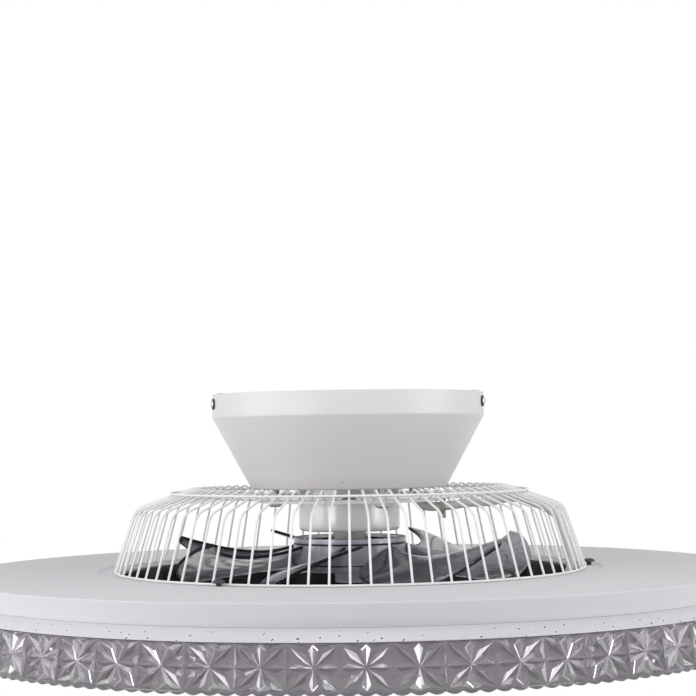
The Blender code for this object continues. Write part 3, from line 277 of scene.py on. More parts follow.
def at_azimuth(radius, side, height, azimuths):
    """Points given as radius, side and height, turned to each azimuth a: x = r sin a + s cos a and
    y = -r cos a + s sin a."""
    angle = np.radians(np.asarray(azimuths, float))[:, None, None]
    return np.stack(np.broadcast_arrays(radius * np.sin(angle) + side * np.cos(angle),
                                        side * np.sin(angle) - radius * np.cos(angle), height), -1)


def swept(name, path, wire_radius, azimuths, sides=8):
    """A round wire along a path of (radius, height), repeated at azimuths. A point of the wire is the
    path's point plus the wire's radius times the normal's cosine part and the sideways sine part. The
    first and last rings shrink to a point, which closes the wire. UV is the length and the girth."""
    step = np.diff(path, axis=0)
    length = np.linalg.norm(step, axis=1)
    along = np.concatenate([[0, 0], np.cumsum(length), [length.sum()]])
    step /= length[:, None]
    heading = np.vstack([step[:1], step[1:] + step[:-1], step[-1:]])
    heading /= np.linalg.norm(heading, axis=1)[:, None]
    path = np.vstack([path[:1], path, path[-1:]])
    heading = np.vstack([heading[:1], heading, heading[-1:]])
    size = np.full((len(path), 1), wire_radius)
    size[[0, -1]] = 0
    turn = np.linspace(0, 2 * np.pi, sides, endpoint=False)[None, :]
    radius = path[:, :1] - heading[:, 1:] * np.cos(turn) * size
    height = path[:, 1:] + heading[:, :1] * np.cos(turn) * size
    points = at_azimuth(radius, np.sin(turn) * size, height, azimuths)
    return surface(name, points, (False, True), along, np.linspace(0, 2 * np.pi, sides + 1) * wire_radius)


def slabs(name, near, far, levels, corner, edge, azimuths=(0,)):
    """Blocks with rounded corners and edges, repeated at azimuths. The outline is a rounded rectangle
    from near to far, both (radius, side), stacked between two levels. Towards each end it draws in by
    edge times one minus the sine, and rises by edge times one minus the cosine, of a quarter turn."""
    near, far = np.array(near, float), np.array(far, float)
    middle, half = (near + far) / 2, (far - near) / 2
    corners = [(*near, corner), (far[0], near[1], corner), (*far, corner), (near[0], far[1], corner)]
    outline = rounded(corners, cuts=4) - middle
    quarter = np.linspace(0, np.pi / 2, 4)
    inset = np.concatenate([edge * (1 - np.sin(quarter)), edge * (1 - np.sin(quarter[::-1]))])[:, None]
    rise = edge * (1 - np.cos(quarter))
    level = np.concatenate([levels[0] + rise, levels[1] - rise[::-1]])
    shrink = np.vstack([[[0, 0]], (half - inset) / half, [[0, 0]]])
    level = np.concatenate([level[:1], level, level[-1:]])[:, None]
    flat = middle + outline[None] * shrink[:, None]
    return surface(name, at_azimuth(flat[..., 0], flat[..., 1], level, azimuths), (False, True))


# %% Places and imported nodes
def spot(azimuth, radius, level, outward=False):
    """Where a small turned piece goes: its own Z stays up, or points outwards."""
    lean = Matrix.Rotation(math.radians(90), 4, "X") if outward else Matrix()
    return Matrix.Rotation(math.radians(azimuth), 4, "Z") @ Matrix.Translation((0, -radius, level)) @ lean


def moved(mesh, matrix):
    """The mesh, turned and moved."""
    mesh.transform(matrix)
    return mesh


def span(name):
    """Outer radius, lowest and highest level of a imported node."""
    low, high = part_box(name)
    return high[0], low[2], high[2]


def numbered(kind, count=3):
    """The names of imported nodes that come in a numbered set."""
    return [f"{kind}_{number}" for number in range(1, count + 1)]


def dress(material, *names):
    """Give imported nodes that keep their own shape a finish."""
    for name in names:
        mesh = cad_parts[name].data
        mesh.materials.clear()
        mesh.materials.append(material)
    print(material.name, "on", len(names), "packed nodes")


# %% [markdown]
# ## Coats, metals and mouldings
# A finish is never quite even. Baked powder melts into a skin with a faint orange peel, plated steel
# dries in clouds, and a moulding keeps the grain of its tool. So one function gives all of them a fine
# bump, at the real grain size, and a slow drift of tone and gloss over some centimetres.

# %% Finish with grain and drift
GLOSS_DRIFT = 0.12
GRAIN_STRENGTH = 0.25


def coated(name, colour, roughness, grain_mm, relief_mm=0.06, drift_mm=60, shade=0.96, **shader_inputs):
    """A bump of a real grain size, and a slow drift between the colour and a darker shade of it."""
    made, tree, shader = finish(name, colour, roughness, **shader_inputs)
    where = node(tree, "TexCoord").outputs["Object"]
    drift = node(tree, "TexNoise", {"Vector": where, "Scale": per_metre(drift_mm), "Detail": 1})
    darker = [channel * shade for channel in srgb(colour)[:3]] + [1]
    tone = node(tree, "Mix", {0: drift, 6: darker, 7: srgb(colour)}, data_type="RGBA")
    gloss = node(tree, "MapRange", {"Value": drift, "To Min": roughness * (1 - GLOSS_DRIFT),
                                    "To Max": roughness * (1 + GLOSS_DRIFT)})
    grain = node(tree, "TexNoise", {"Vector": where, "Scale": per_metre(grain_mm), "Detail": 2})
    bump = node(tree, "Bump", {"Height": grain, "Strength": GRAIN_STRENGTH, "Distance": relief_mm / 1000})
    feed(shader, {"Base Color": tone.outputs[2], "Roughness": gloss, "Normal": bump})
    return made


# Baked powder on steel: an even, soft gloss. The pan's is a duller one, so it doesn't mirror the sky.
powder_coat = coated("white_powder_coat", "#E1DEE0", 0.42, 1.2)
matt_coat = coated("matt_white_powder_coat", "#E4E2E6", 0.62, 1.2, Specular_IOR_Level=0.25)
# A thick dipped coat on wire: glossier, and smooth from running.
wire_coat = coated("white_dipped_wire_coat", "#F2F0F1", 0.32, 0.9)
# ABS from a polished mould shows the lamps as upright bands, brighter ones on the neck.
white_abs = coated("white_moulded_abs", "#E6E8E7", 0.24, 0.8, 0.03)
glossy_abs = coated("white_glossy_moulded_abs", "#E6E8E7", 0.2, 0.8, 0.02, Specular_IOR_Level=1.0)
grey_abs = coated("grey_moulded_abs", "#A9A8AE", 0.3, 0.8, 0.03)
# Zinc plating is a grey mirror with a cloudy bloom. Galvanised sheet is lighter and duller.
zinc_plate = coated("zinc_plated_steel", "#B9BCC0", 0.36, 0.5, 0.02, 9, 0.8, Metallic=1.0)
galvanised = coated("galvanised_sheet_steel", "#E2E3E5", 0.5, 0.8, 0.02, 7, 0.85, Metallic=1.0)
# Blackened zinc keeps the mirror but takes most of its light.
dark_zinc = coated("black_zinc_plated_steel", "#4A4A4E", 0.3, 0.5, 0.02, 9, 0.8, Metallic=1.0)
# Ground steel is bright, with hardly any grain.
ground_steel = coated("ground_bearing_steel", "#C8C9CB", 0.2, 0.3, 0.01, 12, 0.9, Metallic=1.0)
# Sintered ferrite is a dull ceramic with open grains.
ferrite = coated("sintered_ferrite", "#2E2D2F", 0.7, 0.4, 0.08, 5, 0.8)
# Varnished winding: brown lacquer over copper.
varnished_copper = coated("varnished_copper_winding", "#4A2C1E", 0.35, 0.45, 0.2, 4, 0.6, Metallic=0.6)
# A white solder mask over aluminium is chalky.
solder_mask = coated("white_solder_mask", "#E8E8E2", 0.5, 0.3, 0.01, 20, 0.95)
# Soft rubber takes no reflection, and its skin is dusty.
soft_rubber = coated("dark_soft_rubber", "#2B2B2C", 0.68, 0.6, 0.05, 6, 0.75)
# Natural nylon is a greyish, slightly waxy plastic.
nylon = coated("natural_nylon", "#A5A295", 0.42, 0.7, 0.03, 8, 0.9)
print("finishes", [material.name for material in bpy.data.materials if material.use_nodes])

# %% [markdown]
# ## Light cable
# The light is fed by a cable in a braided sleeve. It leaves the control box, drops through the plate,
# runs out under one rib, follows the cage down and goes through a rubber ring in the duct's wall. Both
# ends go into the object, so its length is that of the route. The route lies in one upright plane, so
# it is a path of (radius, height), rounded at its corners, with a circle carried along it.

# %% Cable route
CABLE_RADIUS = 0.00275
CABLE_TURN = 76.5
CABLE_STEP = 0.002
cable_corners = [(0.0387, -0.0140), (0.0408, -0.0235), (0.0408, -0.0600), (0.0445, -0.0719),
                 (0.0622, -0.0716), (0.0755, -0.0691), (0.0892, -0.0691), (0.0957, -0.0673),
                 (0.1039, -0.0659), (0.1120, -0.0679), (0.1221, -0.0714), (0.1286, -0.0751),
                 (0.1318, -0.0798), (0.1347, -0.0899), (0.1378, -0.0995), (0.1389, -0.1064),
                 (0.1369, -0.1143), (0.1318, -0.1225), (0.1318, -0.1318), (0.1581, -0.1316)]
cable_reach = np.full(len(cable_corners), 0.012)
cable_reach[[0, 1, -2, -1]] = 0, 0.009, 0.013, 0
cable_path = dense(rounded(np.column_stack([cable_corners, cable_reach]), cuts=9), CABLE_STEP)

# %% Braided sleeve
# Threads of grey polyester cross at a slant. The relief is the product of two slanted sine waves, and
# the low places between the threads get painted shade: the colour is darker where the relief is low.
PLAIT_MM = 1.3
PLAIT_RELIEF_MM = 0.3
sleeve, tree, shader = finish("grey_braided_sleeve", "#868483", 0.62)
thread = node(tree, "SeparateXYZ", {"Vector": node(tree, "UVMap")}).outputs
waves = []
for sign in (1.0, -1.0):
    around = node(tree, "Math", {0: thread["Y"], 1: sign}, operation="MULTIPLY")
    slant = node(tree, "Math", {0: thread["X"], 1: around}, operation="ADD")
    wave = node(tree, "Math", {0: slant, 1: 2 * math.pi * per_metre(PLAIT_MM)}, operation="MULTIPLY")
    waves.append(node(tree, "Math", {0: wave}, operation="SINE"))
weave = node(tree, "Math", {0: waves[0], 1: waves[1]}, operation="MULTIPLY")
lift = node(tree, "MapRange", {"Value": weave, "From Min": -1})
# Painted shade: the low places of the weave take the darker colour.
tone = node(tree, "Mix", {0: lift, 6: srgb("#BDBBB8"), 7: srgb("#ECEAE7")}, data_type="RGBA")
bump = node(tree, "Bump", {"Height": lift, "Strength": 0.6, "Distance": PLAIT_RELIEF_MM / 1000})
feed(shader, {"Base Color": tone.outputs[2], "Normal": bump})
cable = place("braided_light_cable", [swept("cable", cable_path, CABLE_RADIUS, [CABLE_TURN], 20)], sleeve,
              ["light_cable"])
cable_line = at_azimuth(cable_path[:, 0], 0, cable_path[:, 1], [CABLE_TURN]).reshape(-1, 3)

# %% [markdown]
# ## Cable tie and grommet
# A nylon tie holds the cable to the rib above it. Its strap is a flat band in a loop, so a grid of four
# rows: the outer and the inner side at each edge. Its head is a small slab. The grommet is a rubber ring
# with a groove that grips the duct's wall, so it is a turned profile, laid on its side.

# %% Cable tie
SEAT = 0.0003
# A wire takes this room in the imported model. It is drawn finer, as thick as it looks from here.
WIRE_ROOM, WIRE_RADIUS = 0.00078, 0.00070
TIE_WIDTH, TIE_STRAP, TIE_HEAD = 0.0024, 0.0009, 0.0034
TIE_RADIUS, CABLE_LEVEL = 0.0598, -0.0716
RIB_LOOP, CABLE_LOOP = 0.00135, CABLE_RADIUS + 0.0006
plate_radius, _, plate_top = span("hanger_plate")
rib_level = plate_top + SEAT + WIRE_ROOM
over, under = np.linspace(0, np.pi, 10), np.linspace(np.pi, 2 * np.pi, 16)


def belt(proud):
    """Loop round the rib and the cable: half a circle over the rib, half a circle under the cable."""
    halves = [(over, RIB_LOOP + proud, rib_level), (under, CABLE_LOOP + proud, CABLE_LEVEL)]
    return np.vstack([np.stack([np.cos(turn) * size, level + np.sin(turn) * size], -1)
                      for turn, size, level in halves])


loops = np.stack([belt(proud) for proud in (TIE_STRAP, TIE_STRAP, 0, 0)])
shifts = np.array([[1], [-1], [-1], [1]]) * TIE_WIDTH / 2
belt_grid = at_azimuth(TIE_RADIUS + shifts, loops[..., 0], loops[..., 1], [CABLE_TURN])
tie_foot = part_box("cable_tie")[0][2]
head_mesh = slabs("tie_head", (TIE_RADIUS - TIE_HEAD / 2, -TIE_HEAD / 2),
                  (TIE_RADIUS + TIE_HEAD / 2, TIE_HEAD / 2), (tie_foot, tie_foot + TIE_HEAD), 0.0006, 0.0004,
                  [CABLE_TURN])
tie = place("nylon_cable_tie", [surface("belt", belt_grid, (True, True)), head_mesh], nylon, ["cable_tie"])

# %% Cable grommet
GROMMET_LEVEL, WALL_MIDDLE = -0.1316, 0.1431
BORE, GROOVE, FLANGE = 0.00305, 0.00425, 0.0056
GROOVE_HALF, FLANGE_HALF = 0.0013, 0.0027
grommet_outline = [(FLANGE, FLANGE_HALF, 0.0007), (FLANGE, GROOVE_HALF, 0.0002), (GROOVE, GROOVE_HALF, 0),
                   (GROOVE, -GROOVE_HALF, 0), (FLANGE, -GROOVE_HALF, 0.0002), (FLANGE, -FLANGE_HALF, 0.0007),
                   (BORE, -FLANGE_HALF, 0.0002), (BORE, FLANGE_HALF, 0.0002)]
grommet_mesh = moved(turned("grommet", rounded(grommet_outline), 40),
                     spot(CABLE_TURN, WALL_MIDDLE, GROMMET_LEVEL, True))
place("rubber_grommet", [grommet_mesh], soft_rubber, ["cable_grommet"])

# %% [markdown]
# ## Canopy and plate
# A spun cone with a short collar, open at the ceiling. A spun part is a profile carried round an axis,
# so a turned profile with small rounded edges is its true shape. Near the foot, the shade of a small
# dimple is painted on the coat as a dark dot round a point.

# %% Canopy
SHEET = 0.0012
COLLAR_DEPTH = 0.0148
FOOT_SHARE = 0.716
WIRE_HOLE = 0.008
canopy_radius, canopy_floor, canopy_top = span("canopy")
canopy_foot = canopy_radius * FOOT_SHARE
canopy_outline = [(canopy_radius, canopy_top, 0.0003), (canopy_radius, -COLLAR_DEPTH, 0.0008),
                  (canopy_foot, canopy_floor, 0.0016), (WIRE_HOLE, canopy_floor, 0),
                  (WIRE_HOLE, canopy_floor + SHEET, 0),
                  (canopy_foot - SHEET / 2, canopy_floor + SHEET, 0.001),
                  (canopy_radius - SHEET, -COLLAR_DEPTH, 0.0008), (canopy_radius - SHEET, canopy_top, 0.0003)]

# %% Painted shade of a dimple in the canopy's coat
# A dark dot of painted shade, where a small dimple in the cone would be shaded.
DIMPLE_SHADE_SPOT = (-0.0040, -0.0632, -0.0545)
DIMPLE_SHADE_HEART, DIMPLE_SHADE_RIM = 0.0004, 0.0009
coat_with_painted_dimple_shade = powder_coat.copy()
coat_with_painted_dimple_shade.name = "white_powder_coat_painted_dimple_shade"
tree = coat_with_painted_dimple_shade.node_tree
shader = tree.nodes["Principled BSDF"]
where = node(tree, "TexCoord").outputs["Object"]
gap = node(tree, "VectorMath", {0: where, 1: DIMPLE_SHADE_SPOT}, operation="DISTANCE").outputs["Value"]
painted_dimple_mask = node(tree, "MapRange", {"Value": gap, "From Min": DIMPLE_SHADE_HEART, "From Max": DIMPLE_SHADE_RIM, "To Min": 1.0,
                               "To Max": 0.0})
coat_tone = shader.inputs["Base Color"].links[0].from_socket
painted_dimple_shade = node(tree, "Mix", {0: painted_dimple_mask, 6: coat_tone, 7: srgb("#6E6C6E")}, data_type="RGBA")
feed(shader, {"Base Color": painted_dimple_shade.outputs[2]})
place("canopy_shell", [turned("canopy", rounded(canopy_outline))], coat_with_painted_dimple_shade, ["canopy"])

# %% [markdown]
# ## Screws
# A pan-head screw is turned, pressed and rolled. Here it is one turned profile whose height drops inside
# a cross on the head and whose radius follows a helix on the shank, so cross and thread are real shape.
# The four screws of the collar sit on soft washers. Plate, strap, spacer and the hidden bolts keep the
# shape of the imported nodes, because all that they need is their coat.

# %% Screws
ARM_SHARE, CROSS_SHARE, CROSS_FADE, CROSS_DEPTH = 0.09, 0.6, 0.12, 0.6
THREAD_DEPTH = 0.05
SCREW_STEP = 0.00028


def screw(head, height, shank, length, where):
    """A screw from a profile of dome, rim and shank. The cross is cut where the smaller of |x| and |y|
    is under an arm's width. The thread is a sine of the angle plus the height over the pitch."""
    pitch = shank / 2

    def shape(angle, radius, level):
        x, y = radius * np.sin(angle), radius * np.cos(angle)
        arm = np.clip(2 - np.minimum(abs(x), abs(y)) / (head * ARM_SHARE), 0, 1)
        inside = np.clip((head * CROSS_SHARE - radius) / (head * CROSS_FADE), 0, 1)
        thread = (level < -pitch) & (radius > shank * 0.9)
        radius = radius - thread * shank * THREAD_DEPTH * (1 + np.sin(angle + 2 * np.pi * level / pitch))
        return radius, level - arm * inside * (level > 0) * height * CROSS_DEPTH

    profile = [(0, height, 0), (head * 0.55, height, head * 0.3), (head, height * 0.5, height * 0.4),
               (head, 0, 0.0001), (shank, 0, 0.0001), (shank, -length, shank * 0.4), (0, -length, 0)]
    return moved(turned("screw", dense(rounded(profile, cuts=4), SCREW_STEP), 36, False, shape), where)


# %% Screws and washers of the collar
# Radius and height of the head, radius and length of the shank.
COLLAR_SCREW = (0.0026, 0.0018, 0.0019, 0.0086)
COLLAR_TURNS, COLLAR_LEVEL = (-104, -76, 76, 104), -0.0065
WASHER_HOLE, WASHER_RADIUS, WASHER_THICKNESS, WASHER_EDGE = 0.0020, 0.0034, 0.0009, 0.0003


def round_collar(gap):
    """The four places at a gap from the collar."""
    return [spot(turn, canopy_radius + gap, COLLAR_LEVEL, True) for turn in COLLAR_TURNS]


side_nodes = numbered("canopy_screw", 4)
place("collar_screws", [screw(*COLLAR_SCREW, where) for where in round_collar(SEAT)], zinc_plate, side_nodes)
washer = rounded([(WASHER_RADIUS, WASHER_THICKNESS, WASHER_EDGE), (WASHER_RADIUS, 0, WASHER_EDGE),
                  (WASHER_HOLE, 0, WASHER_EDGE), (WASHER_HOLE, WASHER_THICKNESS, WASHER_EDGE)])
washers = [moved(turned("washer", washer, 36), where) for where in round_collar(SEAT / 2)]
place("collar_washers", washers, soft_rubber, side_nodes)
dress(powder_coat, "hanger_plate")
dress(zinc_plate, "ceiling_bracket")
dress(galvanised, "support_spacer", *numbered("plate_bolt"), *numbered("plate_nut"), *numbered("motor_screw"))

# %% [markdown]
# ## Control box and terminal block
# The receiver and driver share a moulded box under the strap: a slab with rounded corners and edges, and
# a thin plate at half height where its lid meets it.

# %% Control box and terminal block
LID_INSET, LID_THICKNESS = 0.0006, 0.0004
low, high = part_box("control_box")
box_near, box_far = np.array((-high[1], low[0])), np.array((-low[1], high[0]))
seam = (low[2] + high[2]) / 2
box_mesh = slabs("box", box_near, box_far, (low[2], high[2]), 0.003, 0.0015)
lid_mesh = slabs("lid", box_near + LID_INSET, box_far - LID_INSET, (seam, seam + LID_THICKNESS), 0.003,
                 0.0001)
place("moulded_control_box", [box_mesh, lid_mesh], white_abs, ["control_box"])
dress(white_abs, "terminal_block")

# %% [markdown]
# ## Wire cage
# Eighty ribs of 1.5 mm wire. Each one starts flat on the plate, kicks up in a hook, runs down a slope,
# bends at a shoulder and drops to a ring on the light. The ribs are welded to that ring and to a band
# that lies on the slope. Each rib is the same circle carried along the same bent path.

# %% Wire cage
RIBS = 80
RIB_INSET = 0.0055
HOOK_FOOT, HOOK_PEAK, HOOK_RISE = 0.609, 0.672, 0.0058
SHOULDER = (0.1340, -0.0711)
cage_reach, cage_foot, _ = span("wire_cage")
foot_radius, foot_level = cage_reach - WIRE_ROOM, cage_foot + WIRE_ROOM
rib_path = rounded([(plate_radius - RIB_INSET, rib_level, 0), (foot_radius * HOOK_FOOT, rib_level, 0.0018),
                    (foot_radius * HOOK_PEAK, rib_level + HOOK_RISE, 0.0016), (*SHOULDER, 0.0056),
                    (foot_radius, foot_level, 0)], cuts=7)
circle = np.linspace(0, 2 * np.pi, 10, endpoint=False)


def wire_ring(name, radius, level):
    """A closed ring of round wire: a circle turned about Z."""
    section = np.stack([radius + WIRE_RADIUS * np.cos(circle), level + WIRE_RADIUS * np.sin(circle)], -1)
    return turned(name, section, 240)


cage_meshes = [swept("ribs", rib_path, WIRE_RADIUS, evenly(RIBS)),
               wire_ring("foot_ring", foot_radius, foot_level)]
place("cage_of_ribs", cage_meshes, wire_coat, ["wire_cage"])
band_ring_reach, band_low, band_high = span("cage_band")
band_mesh = wire_ring("band", band_ring_reach - WIRE_ROOM, (band_low + band_high) / 2)
place("band_of_wire", [band_mesh], wire_coat, ["cage_band"])

# %% [markdown]
# ## Clamp screws
# Three blackened screws with wide heads hold the cage's foot ring on the light, and three shorter ones
# hold the grille below. They are the same turned screw with other sizes.

# %% Clamp screws of the cage and the grille
CAGE_SCREW = (0.0036, 0.0021, 0.0016, 0.0095)
GRILLE_SCREW = (0.0036, 0.0021, 0.0016, 0.0072)
CLAMP_TURNS = (-28.8, 91.2, 211.2)
CLAMP_GAP, GRILLE_CIRCLE = 0.0042, 0.1385
clamp_spots = [spot(turn, foot_radius + CLAMP_GAP, foot_level + WIRE_ROOM + SEAT) for turn in CLAMP_TURNS]
place("cage_clamp_screws", [screw(*CAGE_SCREW, where) for where in clamp_spots], dark_zinc,
      numbered("cage_screw"))
grille_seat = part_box("grille_screw_1")[1][2] - GRILLE_SCREW[1]
grille_spots = [spot(turn, GRILLE_CIRCLE, grille_seat) for turn in CLAMP_TURNS]
place("grille_clamp_screws", [screw(*GRILLE_SCREW, where) for where in grille_spots], zinc_plate,
      numbered("grille_screw"))

# %% [markdown]
# ## Neck and motor
# Under the plate hangs a white moulded cup, which is the neck that shows through the cage. Its foot has
# a small radius. The motor sits in the hub, where only a shadow of it shows through the smoky wall, so
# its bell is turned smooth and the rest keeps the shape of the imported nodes.

# %% Neck
NECK_HEIGHT, NECK_WALL = 0.0178, 0.002
BOSS_RADIUS, BOSS_BORE = 0.010, 0.0078
neck_radius, boss_foot, neck_top = span("motor_housing")
neck_foot = neck_top - NECK_HEIGHT
neck_outline = [(neck_radius, neck_top, 0.0003), (neck_radius, neck_foot, 0.0026),
                (BOSS_RADIUS, neck_foot, 0.001), (BOSS_RADIUS, boss_foot, 0.0003), (BOSS_BORE, boss_foot, 0),
                (BOSS_BORE, neck_top, 0), (BOSS_RADIUS, neck_top, 0),
                (BOSS_RADIUS, neck_foot + NECK_WALL, 0.001),
                (neck_radius - NECK_WALL, neck_foot + NECK_WALL, 0.001),
                (neck_radius - NECK_WALL, neck_top, 0.0003)]
place("neck_cup", [turned("neck", rounded(neck_outline))], glossy_abs, ["motor_housing"])

# %% Motor
BELL_WALL, BELL_FLOOR = 0.0012, -0.1060
SLEEVE_RADIUS, SHAFT_ROOM = 0.0062, 0.0033
bell_radius, bell_foot, bell_top = span("rotor_bell")
bell_outline = [(bell_radius, bell_top, 0.0003), (bell_radius, BELL_FLOOR - BELL_WALL, 0.0014),
                (SLEEVE_RADIUS, BELL_FLOOR - BELL_WALL, 0.0003), (SLEEVE_RADIUS, bell_foot, 0.0003),
                (SHAFT_ROOM, bell_foot, 0), (SHAFT_ROOM, BELL_FLOOR, 0),
                (bell_radius - BELL_WALL, BELL_FLOOR, 0.0006), (bell_radius - BELL_WALL, bell_top, 0.0003)]
place("turned_rotor_bell", [turned("bell", rounded(bell_outline))], galvanised, ["rotor_bell"],
      "rotor")
dress(ground_steel, "motor_shaft", "upper_bearing", "lower_bearing")
dress(varnished_copper, "stator")
dress(ferrite, "magnet_ring")
dress(solder_mask, "led_board")

# %% [markdown]
# ## Smoky impeller
# Hub and seven blades are one moulding of smoky clear plastic. Light that crosses a thin blade loses
# about half, and light that runs along it to an edge loses nearly all, so edges look black. A volume
# that absorbs does this by itself, where a grey colour on the surface could not. The melt leaves faint
# upright streaks in the skin. The hub is hazier than the blades and less dense, and the edges
# get painted shade, a glossy, nearly black colour, because a ray that bounces inside a wall for long is
# cut off before it goes dark.

# %% Smoky plastic
BLADE_SMOKE, HUB_SMOKE = 380, 165
STREAKS = 2.5
RIPPLE_STRENGTH, RIPPLE_RELIEF_MM = 0.2, 0.2


def tinted(name, tint, density, roughness, ior, ripple_mm, clear, haze, streaks=1, **shader_inputs):
    """A moulding whose inside absorbs light, with a faint moulded ripple. clear is the share of the
    light that goes in, and the rest scatters at the skin in the haze's colour. streaks stretches the
    ripple along the height, as the flow of the melt does."""
    made, tree, shader = finish(name, haze, roughness, IOR=ior, Transmission_Weight=clear, **shader_inputs)
    absorb = node(tree, "VolumeAbsorption", {"Color": srgb(tint), "Density": density})
    feed(tree.nodes["Material Output"], {"Volume": absorb})
    where = node(tree, "TexCoord").outputs["Object"]
    drawn = node(tree, "Mapping", {"Vector": where, "Scale": (1, 1, 1 / streaks)})
    ripple = node(tree, "TexNoise", {"Vector": drawn, "Scale": per_metre(ripple_mm), "Detail": streaks})
    bump = node(tree, "Bump", {"Height": ripple, "Strength": RIPPLE_STRENGTH * streaks,
                               "Distance": RIPPLE_RELIEF_MM / 1000})
    feed(shader, {"Normal": bump})
    return made


smoky_plastic = tinted("smoky_san_plastic", "#5C5873", BLADE_SMOKE, 0.07, 1.57, 7, 0.9, "#AEACB8", STREAKS)
hazy_plastic = tinted("smoky_san_hub_plastic", "#5C5873", HUB_SMOKE, 0.13, 1.57, 4, 0.7, "#DAD8E4", STREAKS)
# Painted shade: where a wall is seen edge on, hardly any light comes out, so that edge is painted a glossy,
# nearly black colour.
painted_dark_edge = coated("smoky_san_edge_painted_shade", "#28272E", 0.3, 2, 0.03, 12, 0.7, Specular_IOR_Level=0.08)

# %% Hub
HUB_TOP, HUB_FOOT = -0.0900, -0.1108
HUB_RADIUS, HUB_WALL, HUB_STEP = 0.0353, 0.0018, 0.0006
RIM = 0.0037
SKIRT, SKIRT_TOP, SKIRT_SLOPE = 0.0009, 0.0036, 0.0045
hub_inside, rim_inside = HUB_RADIUS - HUB_WALL, HUB_RADIUS - HUB_WALL / 2
skirt_radius = HUB_RADIUS + SKIRT
hub_outline = rounded([(HUB_RADIUS, HUB_TOP, 0.0003), (HUB_RADIUS, HUB_FOOT + SKIRT_SLOPE, 0.0002),
                       (skirt_radius, HUB_FOOT + SKIRT_TOP, 0.0002), (skirt_radius, HUB_FOOT, 0.0012),
                       (SHAFT_ROOM, HUB_FOOT, 0), (SHAFT_ROOM, HUB_FOOT + HUB_WALL, 0),
                       (hub_inside, HUB_FOOT + HUB_WALL, 0.001), (hub_inside, HUB_TOP - RIM, 0.0002),
                       (rim_inside, HUB_TOP - RIM, 0.0002), (rim_inside, HUB_TOP, 0.0003)])
# The outline is closed, so its first point is added at the end and dropped again.
hub_mesh = turned("hub", dense(np.vstack([hub_outline, hub_outline[:1]]), HUB_STEP)[:-1])

# %% Stiffeners and painted dark edges of the hub
BLADES, REST_TURN = 7, 3.9
STIFFENERS, STIFFENER_SHIFT, STIFFENER_HALF, STIFFENER_DEPTH = 21, 8, 0.0005, 0.0022
SKIRT_LINE, EDGE_HALF = 0.0041, 0.00045
stiff_mesh = slabs("stiffeners", (hub_inside - STIFFENER_DEPTH, -STIFFENER_HALF),
                   (rim_inside, STIFFENER_HALF), (HUB_FOOT + HUB_WALL / 2, HUB_TOP - RIM), 0.0002, 0.0002,
                   evenly(STIFFENERS, REST_TURN + STIFFENER_SHIFT))
hub_piece = place("impeller_hub", [hub_mesh, stiff_mesh], hazy_plastic, ["impeller"],
                  "rotor")
face_radius, face_level = face_middles(hub_piece)
# The faces at the hub's rim and skirt lines, outside its inner wall, take the painted shade of a dark edge.
edge_levels = np.array([[HUB_TOP], [HUB_TOP - RIM], [HUB_FOOT + SKIRT_LINE], [HUB_FOOT]])
at_edge = abs(face_level - edge_levels).min(0) < EDGE_HALF
refinish(hub_piece, at_edge & (face_radius > hub_inside), painted_dark_edge)

# %% Blades
TIP_RADIUS, BLADE_THICKNESS = 0.1135, 0.0018
# In degrees: how far the upper edge sweeps back at the hub and half way in, and how far the chord turns
# at the tip and, beyond that, at the hub.
SWEEP, BOW, CHORD_TURN, CHORD_GAIN = 8, 44, 32, 4
# How far the upper edge drops at the hub and dips half way in, and the lower edge's drop and rise.
DROP, DIP, FOOT_DROP, FOOT_RISE = 0.0048, 0.0078, 0.0072, 0.0098
# Corners at the tip: the share of the chord at which each rounding starts, and how deep it is.
TRAILING, TRAILING_CUT, LEADING, LEADING_CUT = 0.55, 0.012, 0.16, 0.005
CHORD_BEND = 0.35
ROOT_GAP = 0.0002


def blade_grid(span_cells, chord_cells):
    """Radius, side and height of one blade. Along the span it runs from the tip to the hub, along the
    chord downwards. The upper edge sweeps back and dips half way in, by the span times one minus the
    span. The radius at the tip is less by a square towards both corners. The height falls with a mix
    of the chord and its square."""
    inward = np.linspace(0, 1, span_cells + 1)[:, None]
    chord = np.linspace(0, 1, chord_cells + 1)[None, :]
    bulge = inward * (1 - inward)
    trailing = np.clip((chord - TRAILING) / (1 - TRAILING), 0, 1)
    leading = np.clip(1 - chord / LEADING, 0, 1)
    tip = TIP_RADIUS - TRAILING_CUT * trailing ** 2 - LEADING_CUT * leading ** 2
    radius = rim_inside + (tip - rim_inside) * (1 - inward)
    turn = np.radians(-SWEEP * inward - BOW * bulge - (CHORD_TURN + CHORD_GAIN * inward) * chord)
    high = HUB_TOP - ROOT_GAP - DROP * inward - DIP * 4 * bulge
    low = HUB_FOOT - FOOT_DROP + FOOT_RISE * inward
    height = high + (low - high) * ((1 - CHORD_BEND) * chord + CHORD_BEND * chord ** 2)
    return radius * np.cos(turn), radius * np.sin(turn), height


blades = surface("blades", at_azimuth(*blade_grid(36, 24), evenly(BLADES, REST_TURN)))
blade_piece = place("impeller_blades", [blades], smoky_plastic, ["impeller"], "rotor")
thickness = blade_piece.modifiers.new("Wall", "SOLIDIFY")
thickness.thickness = BLADE_THICKNESS
thickness.offset = 0
# The blades' rims take the painted shade of a dark edge.
thickness.material_offset_rim = 1
blade_piece.data.materials.append(painted_dark_edge)

# %% [markdown]
# ## Impeller nut
# A moulded cap nut holds the impeller on the shaft. Six flutes give the fingers a grip. It is a turned
# profile whose outer wall draws in at each flute.

